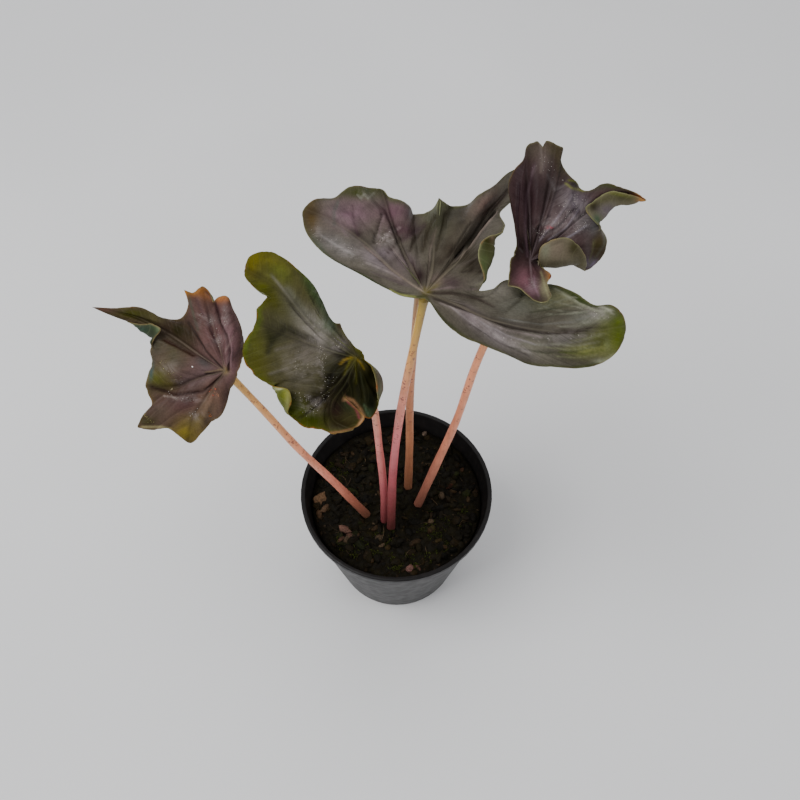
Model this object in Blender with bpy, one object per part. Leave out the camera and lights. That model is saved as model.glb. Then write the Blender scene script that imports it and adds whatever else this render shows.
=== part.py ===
"""A small potted alocasia: a thin round nursery pot of bark soil, and five leaf stalks, each with one dark,
puckered, arrow-shaped blade whose margins wave and roll.

Metres, +Z up. The origin is the middle of the pot's flat underside. +X is to the right and -Y is the side
that the plant is looked at from. A leaf is laid out as it is seen from VIEW_FROM: each point of a rib is a
line of sight (u, v) and a height in millimetres over the leaf's own tilted plane.
"""

from dataclasses import dataclass
from math import cos, radians, sin, tau

import bmesh
import bpy
import numpy as np
from mathutils import Matrix, Vector, noise

MM = 0.001

# Pot
POT_HEIGHT = 0.080
POT_TOP_RADIUS = 0.050
POT_BASE_RADIUS = 0.035
POT_WALL = 0.0014
POT_FLOOR = 0.0018
LIP_HEIGHT = 0.0030
LIP_OVERHANG = 0.0009
POT_SIDES = 56
DRAIN_COUNT = 6
DRAIN_RADIUS = 0.0035
DRAIN_CIRCLE = 0.0220

# Soil
SOIL_LEVEL = 0.070
SOIL_MOUND = 0.0025
SOIL_ROUGHNESS = 0.0016
SOIL_SEED = 11
CHIP_COUNT = 30
CHIP_SMALLEST = 0.0022
CHIP_LARGEST = 0.0050
FIT_GAP = 0.0003

# Leaf stalks
STALK_DEPTH = 0.012
STALK_SIDES = 10
STALK_TOP_RADIUS = 0.00145

# Blades
BLADE_THICKNESS = 0.0008
COLLAR_RADIUS = 0.0022
VEIN_GROOVE = 0.0007
COLUMN_STEP = 0.0042
RING_COUNT = 8
COARSE_RINGS = 3
FLAT_REACH = 0.012
SMOOTH_ROUNDS = 4

# The eye that the leaves are laid out from
VIEW_FROM = Vector((0.0019, -0.1894, 0.4563))
VIEW_DOWN = radians(56.9)
VIEW_FOCUS = 800.0
VIEW_MIDDLE = 400.0
AHEAD = Vector((0, cos(VIEW_DOWN), -sin(VIEW_DOWN)))
UPWARD = Vector((0, sin(VIEW_DOWN), cos(VIEW_DOWN)))
RIGHT = Vector((1, 0, 0))


def sight(u, v):
    """The direction of the line of sight (u, v)."""
    return AHEAD + RIGHT * (u - VIEW_MIDDLE) / VIEW_FOCUS + UPWARD * (VIEW_MIDDLE - v) / VIEW_FOCUS


def on_upright(u, v, y):
    """The point of a line of sight in the upright plane at y."""
    line = sight(u, v)
    return VIEW_FROM + line * ((y - VIEW_FROM.y) / line.y)


@dataclass
class Rib:
    """A line on a blade from the stalk to the margin. A vein is sunk, and a sharp rib ends in a point."""

    points: tuple
    vein: bool = False
    sharp: bool = False


@dataclass
class Leaf:
    """A blade: where its stalk meets it, how its plane leans, and its ribs, clockwise as seen from above."""

    node: tuple
    node_y: float
    lean: float
    bearing: float
    ribs: tuple

    @property
    def centre(self):
        return on_upright(*self.node, self.node_y)

    @property
    def up(self):
        lean = radians(self.lean)
        bearing = radians(self.bearing)
        return Vector((sin(lean) * cos(bearing), sin(lean) * sin(bearing), cos(lean)))

    def place(self, u, v, lift):
        """The point of a line of sight that lies lift millimetres over the leaf's plane."""
        line = sight(u, v)
        start = self.centre + self.up * lift * MM - VIEW_FROM
        return VIEW_FROM + line * (start.dot(self.up) / line.dot(self.up))


def rib(*points):
    return Rib(points)


def vein(*points):
    return Rib(points, vein=True)


def corner(*points):
    return Rib(points, sharp=True)


def vein_tip(*points):
    return Rib(points, vein=True, sharp=True)


# The far left blade faces the eye. Its tip reaches left and its side lobes reach up and down.
LEAF_A = Leaf(
    node=(225, 371),
    node_y=-0.0095,
    lean=33,
    bearing=-100,
    ribs=(
        rib((233, 373, 0), (239, 370, -1)),
        rib((231, 376, 0), (235.3, 380.5, -1.5)),
        rib((227, 381, 0), (229.6, 393, -3)),
        rib((225, 386, 0), (226.8, 403.7, -4.5)),
        rib((221, 389, 0.3), (220.5, 416.3, -5)),
        rib((217, 390, 0.5), (212, 422, -5)),
        rib((213, 393, 0.5), (207, 412, -1), (203, 431.8, -5)),
        vein((214, 386, -0.5), (203.7, 401.6, -0.5), (195, 416, -2), (189, 443, -7)),
        rib((205, 391, 0.3), (192, 411, -1), (180, 436.7, -5)),
        rib((202, 390, 0.5), (186, 407, 0), (168, 428.5, -2)),
        rib((199, 388, 0.8), (178, 405, 0.8), (153, 430, -2)),
        corner((197, 386, 0.8), (172, 402, 0.8), (137, 427.5, -2)),
        rib((196, 384, 0.5), (170, 398, 0), (142, 416.3, -1)),
        rib((194, 381, 0), (172, 391, -1.5), (151.8, 403, -1)),
        vein((200, 378, -0.8), (175, 387, -2), (145.5, 387.5, 1)),
        rib((196, 372, 0.5), (172, 376, 1), (148, 375, 1)),
        rib((196, 368, 1), (172, 366, 1.5), (152, 360, 0)),
        rib((197, 364, 1), (174, 357, 1), (150, 351, -1)),
        rib((198, 361, 0.8), (174, 349.5, 0.5), (152, 342, -0.5), (155, 338, 1.2)),
        rib((198, 359, 0.5), (177, 346, 0), (153, 336, 0), (161, 329, 3)),
        rib((198, 357.8, 0.3), (175, 343, -0.5), (145, 331, -1), (155, 324.5, 3)),
        rib((197.5, 356.3, 0), (171, 339, -1), (139, 327, -1), (140.5, 324, 0.8)),
        rib((197, 354.8, -0.3), (168, 335.5, -1.2), (128, 321.5, 0)),
        vein_tip((206, 359.5, -0.6), (194, 351, -0.8), (165, 331.5, -1.5), (135, 316.5, 0), (92, 307, 5)),
        rib((197, 349.5, 0), (168, 328, -0.5), (113, 308, 2)),
        rib((197, 347, 0.3), (170, 325, 0), (141, 307.4, 1)),
        rib((199, 343, 0.5), (178, 324, 0), (163.7, 317.9, -1)),
        rib((201, 340, 0.5), (188, 325, -0.5), (180, 318.5, -3)),
        rib((205, 337, 0.5), (196, 318, 0), (188, 304, -1)),
        corner((208, 334, 0), (198, 312, 0), (184.2, 290, 1)),
        rib((210, 333, -0.5), (203, 310, -0.5), (192, 292.5, 0)),
        vein((221, 352, -0.5), (215.5, 335, -1.5), (209.5, 312, -1.5), (203, 286.5, 0)),
        rib((219.5, 335, -1.5), (213.5, 312, -1.5), (207.5, 290, 0)),
        corner((222, 334, -1), (217, 314, -0.5), (212.5, 302, 0)),
        rib((224, 333, 0.5), (221, 315, 1), (220.5, 296, 1)),
        rib((228, 335, 1), (226, 316, 1.5), (227, 296, 1)),
        rib((231, 338, 1.2), (232, 320, 1), (232.5, 307, -1)),
        rib((233, 345, 1), (238, 335, -0.5), (241, 326, -3)),
        rib((233, 352, 0.8), (240, 347, -1), (244, 343, -4)),
        rib((232, 360, 0.5), (243, 357, -3)),
    ),
)

# The cupped blade left of the pot: one long lobe up, the right side hanging, and a dried tip curled forward.
LEAF_B = Leaf(
    node=(357, 358),
    node_y=-0.0146,
    lean=20,
    bearing=-135,
    ribs=(
        rib((361, 358.7, 0), (365, 360.5, -0.3)),
        rib((361.5, 361, 0), (366, 364, -0.8), (371.5, 367, -3.4), (370.8, 366.6, -1.2)),
        rib((361, 362, 0), (367, 367.5, -1.7), (376.6, 371.8, -6), (373, 373, -1.2)),
        rib((360.7, 362.5, 0), (367, 370.5, -2.3), (380.5, 378.5, -8.8), (375, 378.5, -3)),
        rib((360.3, 363, 0), (367, 373, -2.8), (381.8, 387, -11), (375.8, 386, -4.6)),
        rib((359.7, 363.5, 0), (366, 377, -3.5), (379.6, 396, -13.5), (377, 395.5, -9.5)),
        rib((359.2, 364, 0), (364.5, 379, -3.5), (375, 400, -12.5), (377, 409, -16)),
        rib((358.7, 364, 0), (362.5, 380, -3.5), (369.5, 403, -12), (370, 418.5, -17.5)),
        rib((358.2, 364, 0), (360.5, 380, -3), (365, 400, -10), (366.5, 418, -16.5)),
        rib((357.7, 364, 0), (358.5, 381, -3), (361, 396, -8.5), (361.5, 415.5, -14.5)),
        rib((356.5, 383, -3), (357, 393, -6.2), (355.5, 410, -12)),
        rib((354.7, 382.5, -2.5), (352.5, 391.5, -4.8), (349.8, 404, -9)),
        corner((352.7, 380, -2.2), (348.5, 389, -3.5), (345.3, 397.5, -5.2)),
        rib((349.5, 382.5, -2.2), (342, 394.5, -4.3), (340.5, 402, -6), (349.5, 402, -5.5)),
        rib((347, 383.8, -2), (337.5, 399, -5.1), (335.5, 409, -8.3), (348, 411, -8), (359, 411.3, -6.9)),
        rib((345.8, 384.2, -2), (335.3, 401, -5.3), (334, 412, -9), (349, 418, -10), (364.3, 417.5, -8.5)),
        rib(
            (344.8, 384.5, -2), (333.3, 402.5, -5.6), (333, 415.5, -9.8),
            (348, 422.5, -11), (361, 423.5, -10.5),
        ),
        vein_tip((343.8, 385, -2.3), (331.3, 403.8, -6), (332, 418.5, -10.5), (352.5, 430, -12)),
        rib((342.8, 385.2, -1.8), (329.3, 404.8, -6), (330, 420, -10.5), (342, 432.5, -12)),
        rib((341.8, 385, -1.7), (327.3, 405.5, -6.1), (326, 421, -10.2), (333, 434, -12)),
        rib((340.8, 384.7, -1.5), (325, 405.8, -5.6), (321, 429.5, -11)),
        rib((339.8, 383.8, -1.2), (321.5, 404.3, -4.9), (308, 429, -10)),
        vein((338.5, 382, -1), (317, 400.5, -4), (294, 419.5, -8)),
        rib((336, 379, -0.5), (312, 396, -2.5), (287, 411.5, -6), (288.5, 412.5, -4)),
        rib((334, 376, -0.5), (308, 389, -1.5), (281, 402, -4.5), (291.8, 401, 0.5)),
        rib((332, 373, 0), (305, 382, -0.5), (277.5, 392, -3.5), (289, 390, 0.8)),
        rib((331, 371.5, 0), (302.5, 378.5, -0.5), (274, 387.5, -3.5), (277.5, 386.8, -0.8)),
        rib((330, 370, 0), (300, 375, -0.5), (268, 384, -3)),
        rib((328, 367, 0), (296, 370, 0), (258, 378, -2)),
        rib((326, 364, 0), (292, 364, 0.5), (247, 367, -0.5)),
        rib((324, 360, 0), (290, 356, 1), (243, 346, 3)),
        rib((323, 356, 0), (290, 348, 1), (249, 334, 3)),
        vein((338, 353, -0.5), (314, 345, 0), (286, 334, 0.5), (256, 321, 1)),
        corner((321, 345.5, -0.3), (292, 330, -0.5), (256.5, 309, 0)),
        corner((320, 341.5, 0), (295, 322, 0), (267, 297, -0.5)),
        rib((321, 338.5, -0.3), (292, 311, 0), (252, 285, -1)),
        vein((343, 349, -0.3), (325, 335, -0.8), (304, 317, -1), (283, 292, -1), (244, 268, -4)),
        rib((325, 330.5, -0.3), (298, 300, -0.5), (248, 258, -3)),
        rib((326, 330, 0), (303, 298, 0), (266, 251, -3)),
        rib((328, 329.5, 0), (307, 297, 0.3), (284, 258, -2.5)),
        rib((330.5, 330, 0.3), (310.5, 299, 0.5), (300, 271, -2)),
        rib((334, 332, 0.3), (316.5, 309, 0), (313, 284, -2.5)),
        rib((339.5, 336.5, 0.2), (324, 316.5, -0.5), (322, 300, -3)),
        rib((345.5, 343, 0), (334.5, 328.5, -1), (330.7, 318, -3)),
        rib((348, 345, 0), (339, 332.5, -1.2), (335.8, 323.2, -2.2)),
        corner((349.5, 346.5, 0), (342, 334, -1.3), (341, 319.7, -1.5)),
        rib((350.8, 347, 0), (344.5, 336.5, -1.2), (342.4, 329, -1.4)),
        rib((353.3, 348.5, 0), (350, 342, -0.8), (346.3, 335.8, -1.2)),
        rib((356.3, 352.5, 0), (355.5, 347, -0.4)),
        rib((360, 355, 0), (363, 353, -0.2)),
    ),
)

# The large blade over the pot. Its side lobes spread left and right, and its tip reaches back, under the
# next one.
LEAF_C = Leaf(
    node=(425, 293),
    node_y=-0.0165,
    lean=0,
    bearing=0,
    ribs=(
        corner((425, 296, 0), (425, 298.5, -0.5)),
        rib((419, 295.5, 0), (415, 298.3, -1.2)),
        rib((413, 294.5, -0.2), (404, 296.7, -1.3)),
        rib((405, 292, 0), (387, 289, -2)),
        rib((403, 286, 0), (380, 279, -1), (358, 273.3, -5)),
        rib((401, 283, 0), (368, 268, -1), (330, 258, -7)),
        rib((398, 279, 0), (362, 258, -2), (316, 246, -9)),
        rib((398, 275, -0.3), (360, 248, -3), (303.5, 224, -11)),
        vein((412, 284, -0.5), (393, 269, -1), (366, 243, -2.5), (335, 222, -5), (304, 208, -11)),
        rib((396, 265, -1), (366, 232, -2), (315, 199, -9)),
        rib((399, 262, -0.5), (370, 226, -3), (334, 197.6, -8)),
        rib((400, 261, 0), (375.5, 221, -1), (347, 187.6, -3)),
        rib((402, 260, 0), (381, 218, 0.5), (357, 185.4, -1)),
        rib((404, 260, 0), (386, 219, 0), (369, 187.5, -3.5)),
        vein((413, 272, -0.5), (403, 252, -1), (393, 228, -1.5), (381, 189, -1)),
        rib((410, 262, 0), (398, 228, 0.5), (390, 197, 1.5)),
        rib((414, 262, 0.3), (406, 228, 1), (403, 201, 1)),
        rib((417, 262, 0), (411, 232, 0), (410.5, 207, -2)),
        corner((420, 262, -0.5), (416, 236, -2.5), (413, 214, -6)),
        rib((424, 260, -0.3), (424, 236, -2), (425, 212.5, -4)),
        rib((428, 262, 0), (430, 236, 0), (434, 207, 1)),
        vein_tip((432, 268, -0.5), (434, 244, 0), (439, 198, 6)),
        rib((436, 266, 0), (440, 236, 0.5), (446, 203, 3)),
        rib((440, 264, 0.5), (447, 236, 0), (456, 206, -3)),
        rib((444, 262, 0.5), (455, 232, 1.2), (467, 204.5, -2)),
        rib((446.5, 260.5, 0.7), (463, 226, 2), (478, 195, 1)),
        rib((448.3, 259.8, 0.7), (470, 219, 2.4), (490, 188, 0)),
        rib((450, 260, 0.4), (477.5, 216.5, 1.8), (513, 170, -5)),
        vein_tip(
            (441, 276.5, -0.5), (454.5, 264.5, -0.8), (475, 234, -2.5), (494, 206, -3.5), (540, 166, -14)
        ),
        rib((455.7, 266, -0.5), (480, 231, -1.5), (504, 201.5, -5), (530, 186, -10)),
        rib((456.5, 267, 0), (484, 227, -0.8), (500, 207.5, -3), (510, 203, -6)),
        rib((457.2, 268, 0.3), (484, 231, 0.8), (494, 219, 0.3), (500, 215, -1)),
        rib((457.6, 269, 0.5), (482, 238, 1.6), (505, 225, 1)),
        corner((458, 270.5, 0.6), (480, 244.5, 2), (503, 231.5, 3)),
        rib((458, 272, 0.6), (478, 251.5, 1.8), (493, 243, 2.5), (485, 238.5, 5)),
        rib((458, 274, 0.6), (478, 257, 1.5), (493, 250, 2.5), (478.5, 249, 6.5)),
        rib((458, 277, 0.5), (477, 265, 1), (490, 262, 2), (478.5, 260, 6)),
        rib((457, 280.5, 0.4), (474, 276, 0.3), (486, 273, 1), (481, 268, 4)),
        rib((456.5, 284, 0.2), (472, 282, -0.5), (484.5, 280, -0.5), (483.5, 278, 1)),
        rib((456, 287, 0), (470, 287, -1), (481.5, 286.5, -2)),
        corner((452, 292, -0.5), (466, 291.5, -1.5), (479, 290.5, -3)),
        rib((453, 295, -0.8), (472, 296.5, -3), (486, 295, -4.5), (494, 288.5, -5)),
        rib((455, 297, -1), (478, 299.5, -4), (500, 294, -6.5), (508, 279.5, -8)),
        rib((456, 298.5, -1), (484, 302, -4.5), (518, 297, -8.5), (526, 287.5, -10)),
        rib((457, 300, -1), (492, 304, -5), (551, 284, -10)),
        rib((458, 301, -1), (500, 309, -5.5), (577, 293.5, -10)),
        rib((459, 302, -1.2), (508, 314, -6), (595, 305, -10)),
        rib((460, 303, -1.2), (514, 318, -6.5), (612, 305, -10)),
        rib((460, 304, -1.3), (520, 322, -7), (622, 313, -12)),
        vein((452, 302, -1.2), (484, 315, -3), (532, 328, -7), (579, 332, -9.5), (626, 326, -14)),
        rib((460, 307, -1), (520, 333, -6), (619, 349, -18)),
        rib((460, 309, -0.8), (514, 337, -6), (603, 363, -20)),
        rib((459, 310, -0.5), (506, 338, -6), (585, 367.8, -20)),
        rib((457, 310.5, -0.5), (498, 338, -5.5), (557, 367.3, -17)),
        rib((455, 311, -0.5), (488, 336, -5), (528, 364.5, -14.5)),
        rib((452, 311, -0.5), (478, 332, -4.5), (509, 356, -12)),
        rib((448, 310, -0.5), (466, 328, -4), (482, 345, -9)),
        rib((443, 308, -0.5), (455, 322, -3.5), (461, 336, -7)),
        rib((438, 305, -0.5), (447, 325, -5)),
        rib((432, 300, -0.3), (437, 313, -2.5)),
        rib((427, 296, 0), (429, 302, -1)),
    ),
)

# The purple blade at the right. One side lobe stands up, the tip reaches right, and the lower margin rolls
# over.
LEAF_D = Leaf(
    node=(530, 261),
    node_y=0.0020,
    lean=42,
    bearing=-90,
    ribs=(
        rib((523, 255, 0), (516.5, 247, -1)),
        rib((523, 245, 0), (514.5, 228, -2)),
        rib((524, 238, 0), (516, 218, 0), (510, 202, -3)),
        rib((525, 236, 0.3), (517, 208, 0.5), (508.5, 182, -3)),
        rib((526, 235, 0.5), (519, 203, 1), (514, 170, -2)),
        rib((527, 234, 0.5), (523, 198, 1), (524, 157, -1)),
        vein((530.2, 246, -0.4), (530, 228, -0.8), (528.5, 195, -0.8), (526, 148, 0)),
        rib((532, 230, 0), (533, 195, 0.5), (532, 142.5, -1)),
        rib((534, 229, 0.5), (538, 192, 1.5), (538, 141, -2)),
        corner((536, 229, 0.6), (542, 190, 1.2), (542.5, 147, -1)),
        rib((537, 229, 0.5), (545, 189, 1), (545.5, 141.5, 0)),
        vein((536.5, 240, -0.3), (542, 220, -0.5), (550, 188, -0.3), (556, 144, -1)),
        rib((541.5, 229, 0.3), (554, 190, 0.5), (563, 147, -2)),
        rib((543.5, 230, 0.4), (556.5, 194, 0.5), (561, 160, -3)),
        rib((545.5, 231, 0.5), (559, 200, 0.5), (565, 184, 0), (567.5, 173, -3)),
        rib((547.5, 232, 0.5), (562.5, 204, 0.5), (571, 190, 1.2), (576, 181, -3)),
        rib((550, 233, 0.5), (568, 208, 0.3), (584, 190.5, -1)),
        rib((552, 234, 0.3), (573, 209.5, 0), (592, 189.5, -1)),
        rib((553.5, 235, 0.2), (577, 210.5, -0.5), (603, 183, -1)),
        rib((555, 236.2, 0), (580.5, 211, -0.5), (602, 192.5, 0), (619, 186, 0)),
        rib((556, 237.2, 0), (583, 212, -0.5), (609, 193, 0), (632, 191.3, 1)),
        vein_tip((545, 248.5, -0.4), (560, 236.3, -0.5), (586, 214.5, -0.8), (613, 197.5, 0), (646, 200, -3)),
        rib((557, 240.5, 0), (584, 219, -0.5), (612, 204.5, 0), (634, 201, 0), (630, 194.5, 2)),
        rib((557, 242, 0), (583, 222, -0.3), (605, 212, 0), (617, 202.5, 0.5), (612, 191, 4)),
        rib((557, 243.5, 0.2), (581, 225, 0), (606, 214, 0.5), (593, 201, 4.5)),
        rib((557.5, 245, 0.3), (580, 229, 0.3), (601, 219.5, 0.8), (585, 209, 4)),
        rib((558, 246.5, 0.4), (580, 233, 0.5), (598.5, 224, 0), (590, 217, 3.4)),
        rib((558.3, 247.3, 0.4), (581, 235.5, 0.5), (600, 227.5, 0), (597, 224.5, 1.4)),
        rib((558.5, 248, 0.5), (582, 237.5, 0.5), (602, 230, -0.5)),
        rib((559, 249.5, 0.5), (584, 243, 0.3), (607, 240, -2)),
        vein((559, 251, 0.3), (584, 248.5, 0), (606, 249, -3)),
        rib((559, 252.5, 0), (583, 253.5, -0.5), (600.5, 260, -4)),
        rib((558, 254, -0.3), (581, 257.5, -1), (592, 267.5, -4)),
        rib((557, 255.5, -0.6), (577, 260.5, -1), (587, 270.5, -3)),
        rib((556, 257, -0.8), (573, 262, -0.5), (583, 266, 0.5), (585.5, 256, 4)),
        rib((554, 258, -1), (568, 262.5, -0.5), (577, 262.5, 1.5), (578, 252, 5), (577, 244, 7)),
        rib((551, 259, -1), (561, 263.5, 0), (567, 263.5, 2), (568, 250, 6), (567.5, 238, 8.5)),
        rib((546, 260, -0.8), (553, 264.8, 0.5), (558, 265.5, 2.5), (557, 252, 6.5), (553, 239.5, 8.5)),
        rib((541.5, 261, -0.4), (546, 265, 1), (550.5, 265.3, 2.8), (548, 255, 6.5), (541, 247, 8)),
        rib((539.5, 261.8, -0.2), (543, 265, 1), (546, 265.3, 2.6), (542.5, 260, 5), (538.5, 256.5, 6.2)),
        corner((537.5, 263, 0), (541, 267.5, 1.8)),
        rib((536.7, 265.5, 0.6), (543, 272, 3.3), (549, 272, 4.5)),
        rib((536, 267.8, 1.5), (543, 277, 5.6), (551, 276.5, 7.5)),
        rib((535, 270, 3), (540, 281, 8), (547, 283, 10.5)),
        rib((534, 273, 4), (541, 286, 10), (549, 289, 12.5)),
        rib((534, 275, 4.8), (541, 290, 11.5), (551.3, 295, 15.5)),
        rib((533, 276, 5), (540, 292, 12.5), (548.5, 300, 17.5)),
        vein((531, 270, 3), (532, 281, 7), (537, 293, 12.5), (541.5, 302.5, 18.5)),
        rib((529, 277, 5.5), (531, 290, 11.5), (534, 299.7, 17)),
        rib((527, 276, 5.5), (526, 285, 9.5), (526, 293.3, 14.5)),
        rib((525, 273, 4.5), (521, 281, 8), (519, 287.5, 12)),
        corner((523, 270, 3.5), (516, 279, 7.5), (508.7, 285.4, 11)),
        rib((521, 267, 2.5), (514, 272, 5.5), (509.5, 274, 8)),
        rib((521, 263, 1.5), (515, 263, 3.5), (511.5, 258, 4)),
        rib((522, 260, 0.5), (514.5, 252, 1.5)),
    ),
)

# The small blade that the large one hides from the eye.
LEAF_E = Leaf(
    node=(419, 284),
    node_y=0.0080,
    lean=14,
    bearing=100,
    ribs=(
        corner((419, 287, 0), (419, 291, -0.5)),
        rib((413.5, 286.3, 0), (403, 286.5, -0.7)),
        rib((407, 284, 0), (386, 280, -1.5)),
        rib((404, 280.5, 0), (366, 267, -5)),
        vein((401, 275, -0.6), (376, 256, -2.5), (345, 242, -8)),
        rib((400, 270, 0), (372, 243, -2), (358, 228, -6)),
        rib((402.5, 266, 0.3), (383, 238, 0), (372, 222, -0.5)),
        rib((407, 262.5, 0.5), (396, 238, 0.3), (386, 216.5, -0.8)),
        vein_tip((412, 264, -0.6), (405, 240, -1), (394, 203, -5)),
        rib((416.5, 262, 0.5), (413, 238, 0.3), (406, 219, -0.5)),
        rib((422, 263, 0.5), (424, 240, 0), (424, 222, -3)),
        rib((427, 265, 0.3), (438, 244, 0), (446, 228, -1)),
        rib((432, 268, 0), (450, 250, -2), (462, 238, -6)),
        vein((434, 273, -0.6), (452, 262, -2.5), (471, 256, -8)),
        rib((434, 278, 0), (464, 269, -6)),
        rib((431, 282, 0), (452, 280, -4)),
        rib((426, 285, 0), (436, 287, -2)),
    ),
)

LEAVES = {"leaf_a": LEAF_A, "leaf_b": LEAF_B, "leaf_c": LEAF_C, "leaf_d": LEAF_D, "leaf_e": LEAF_E}


@dataclass
class Stalk:
    """A leaf stalk: the lines of sight along it, from the soil up, and the radius at the soil."""

    leaf: Leaf
    foot_y: float
    sights: tuple
    foot_radius: float

    def path(self):
        """Points from under the soil face to the blade's node, with the radius at each."""
        count = len(self.sights)
        points = []
        for index, (u, v) in enumerate(self.sights):
            share = index / count
            points.append(on_upright(u, v, self.foot_y + (self.leaf.node_y - self.foot_y) * share))
        points.append(self.leaf.centre)
        points = along(points, np.linspace(0, 1, 9))
        root = points[0] - (points[1] - points[0]).normalized() * STALK_DEPTH
        return [root, *points]


STALKS = {
    "petiole_a": Stalk(LEAF_A, -0.0095, ((366, 514), (333, 481), (300, 450), (262, 409)), 0.00225),
    "petiole_b": Stalk(LEAF_B, -0.0128, ((384.5, 520), (383.5, 486), (379.5, 450), (372, 400)), 0.00210),
    "petiole_c": Stalk(LEAF_C, -0.0170, ((391, 527.5), (394, 460), (402.5, 400), (413, 350)), 0.00230),
    "petiole_d": Stalk(
        LEAF_D, -0.0037, ((418, 504), (436, 465), (454, 426), (483, 348), (508, 299)), 0.00235
    ),
    "petiole_e": Stalk(LEAF_E, 0.0064, ((408, 487), (409.5, 446), (410, 400), (413.5, 350)), 0.00225),
}


def along(points, shares):
    """Points of a smooth curve through the given ones, at shares of its length."""
    points = np.array([tuple(point) for point in points])
    knots = np.concatenate([[0], np.cumsum(np.linalg.norm(np.diff(points, axis=0), axis=1))])
    knots /= knots[-1]
    return [Vector(point) for point in hermite(points, knots, slopes(points, knots), shares)]


def slopes(points, knots):
    """The curve's slope at each point, weighted towards the nearer neighbour."""
    steps = np.diff(knots)[:, None]
    runs = np.diff(points, axis=0) / steps
    inner = (runs[:-1] * steps[1:] + runs[1:] * steps[:-1]) / (steps[1:] + steps[:-1])
    return np.concatenate([runs[:1], inner, runs[-1:]])


def hermite(points, knots, tangents, shares):
    """Cubic curve through points with given tangents, at shares of the knots' span."""
    shares = np.asarray(shares, float)
    span = np.clip(np.searchsorted(knots, shares, side="right") - 1, 0, len(knots) - 2)
    step = (knots[span + 1] - knots[span])[:, None]
    t = ((shares - knots[span])[:, None]) / step
    return (
        points[span] * (1 + 2 * t) * (1 - t) ** 2
        + tangents[span] * step * t * (1 - t) ** 2
        + points[span + 1] * t**2 * (3 - 2 * t)
        + tangents[span + 1] * step * t**2 * (t - 1)
    )


def blade_sheet(leaf, column_step, shares):
    """The upper face of a blade as columns x rings of points, with each column's vein depth."""
    curves = np.array(
        [along([leaf.centre, *(leaf.place(*point) for point in rib.points)], shares) for rib in leaf.ribs]
    )
    count = len(curves)
    margin = curves[:, -1]
    gaps = np.linalg.norm(np.roll(margin, -1, axis=0) - margin, axis=1)
    knots = np.concatenate([[0], np.cumsum(gaps)])
    stops = []
    sunk = []
    for index, gap in enumerate(gaps):
        pieces = max(1, round(gap / column_step))
        for piece in range(pieces):
            stops.append(knots[index] + gap * piece / pieces)
            sunk.append(leaf.ribs[index].vein and piece == 0)
    wrapped = np.concatenate([curves, curves[:1]])
    around = np.concatenate([curves[-1:], wrapped, curves[1:2]])
    wide = np.concatenate([[-gaps[-1]], knots, [knots[-1] + gaps[0]]])
    columns = []
    for ring in range(len(shares)):
        tangents = slopes(around[:, ring], wide)[1:-1]
        for index in range(count + 1):
            if leaf.ribs[index % count].sharp:
                tangents[index] *= 0.2
        columns.append(hermite(wrapped[:, ring], knots, tangents, stops))
    return np.array(columns).transpose(1, 0, 2), np.array(sunk)


def flat_collar(leaf, columns):
    """The small flat round of a blade that sits on the stalk, one point for each column."""
    up = np.array(leaf.up)
    centre = np.array(leaf.centre)
    reach = columns - centre
    reach -= (reach @ up)[:, None] * up
    length = np.linalg.norm(reach, axis=1, keepdims=True)
    return centre + reach / length * np.minimum(COLLAR_RADIUS, 0.5 * length)


def sunk_veins(columns, sunk, shares):
    """Columns lowered along the veins, deepest near the stalk and gone at the margin."""
    around = np.roll(columns, -1, axis=0) - np.roll(columns, 1, axis=0)
    outward = np.gradient(columns, axis=1)
    normals = np.cross(around, outward)
    normals /= np.linalg.norm(normals, axis=2, keepdims=True) + 1e-12
    depth = VEIN_GROOVE * (1 - shares) ** 0.5 * np.minimum(1, shares / 0.35)
    return columns - normals * np.where(sunk, 1.0, 0.0)[:, None, None] * depth[None, :, None]


def blade(name, leaf, material):
    """A blade: ribs laid round the stalk, with its under face split into the same triangles."""
    shares = np.concatenate([[0.0], 1 - np.linspace(0.88, 0, RING_COUNT) ** 1.5])
    columns, sunk = blade_sheet(leaf, COLUMN_STEP, shares)
    columns[:, 1:-1] = sunk_veins(columns, sunk, shares)[:, 1:-1]
    collar = flat_collar(leaf, columns[:, 1])
    columns = np.concatenate([columns[:, :1], collar[:, None], columns[:, 1:]], axis=1)
    mesh = bmesh.new()
    places = flat_rings(mesh, *columns.shape[:2])
    drape(places, columns)
    halve(mesh, places, sunk)
    bmesh.ops.triangulate(mesh, faces=mesh.faces)
    thicken(mesh, leaf.up)
    return finish(name, mesh, material)


def thicken(mesh, up):
    """Gives a sheet its under face, along directions that change slowly over the blade."""
    spot = mesh.verts.layers.int.new("spot")
    mesh.normal_update()
    sheet = list(mesh.verts)
    for index, vert in enumerate(sheet):
        vert[spot] = index
    around = [[edge.other_vert(vert)[spot] for edge in vert.link_edges] for vert in sheet]
    ways = [vert.normal.copy() for vert in sheet]
    centre = min(sheet, key=lambda vert: -len(vert.link_edges)).co.copy()
    weights = [max(0.0, 1 - (vert.co - centre).length / FLAT_REACH) for vert in sheet]
    for _ in range(SMOOTH_ROUNDS):
        pulls = [
            sum((ways[other] for other in others if ways[other].dot(way) > 0.5), Vector())
            for way, others in zip(ways, around)
        ]
        ways = [(way + pull * 0.4).normalized() for way, pull in zip(ways, pulls)]
    ways = [way.lerp(up, weight * max(0, way.dot(up))).normalized() for way, weight in zip(ways, weights)]
    out = bmesh.ops.extrude_face_region(mesh, geom=mesh.faces, use_keep_orig=True)["geom"]
    for item in out:
        if isinstance(item, bmesh.types.BMVert):
            item.co -= ways[item[spot]] * BLADE_THICKNESS
    mesh.verts.layers.int.remove(spot)
    bmesh.ops.recalc_face_normals(mesh, faces=mesh.faces)


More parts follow.
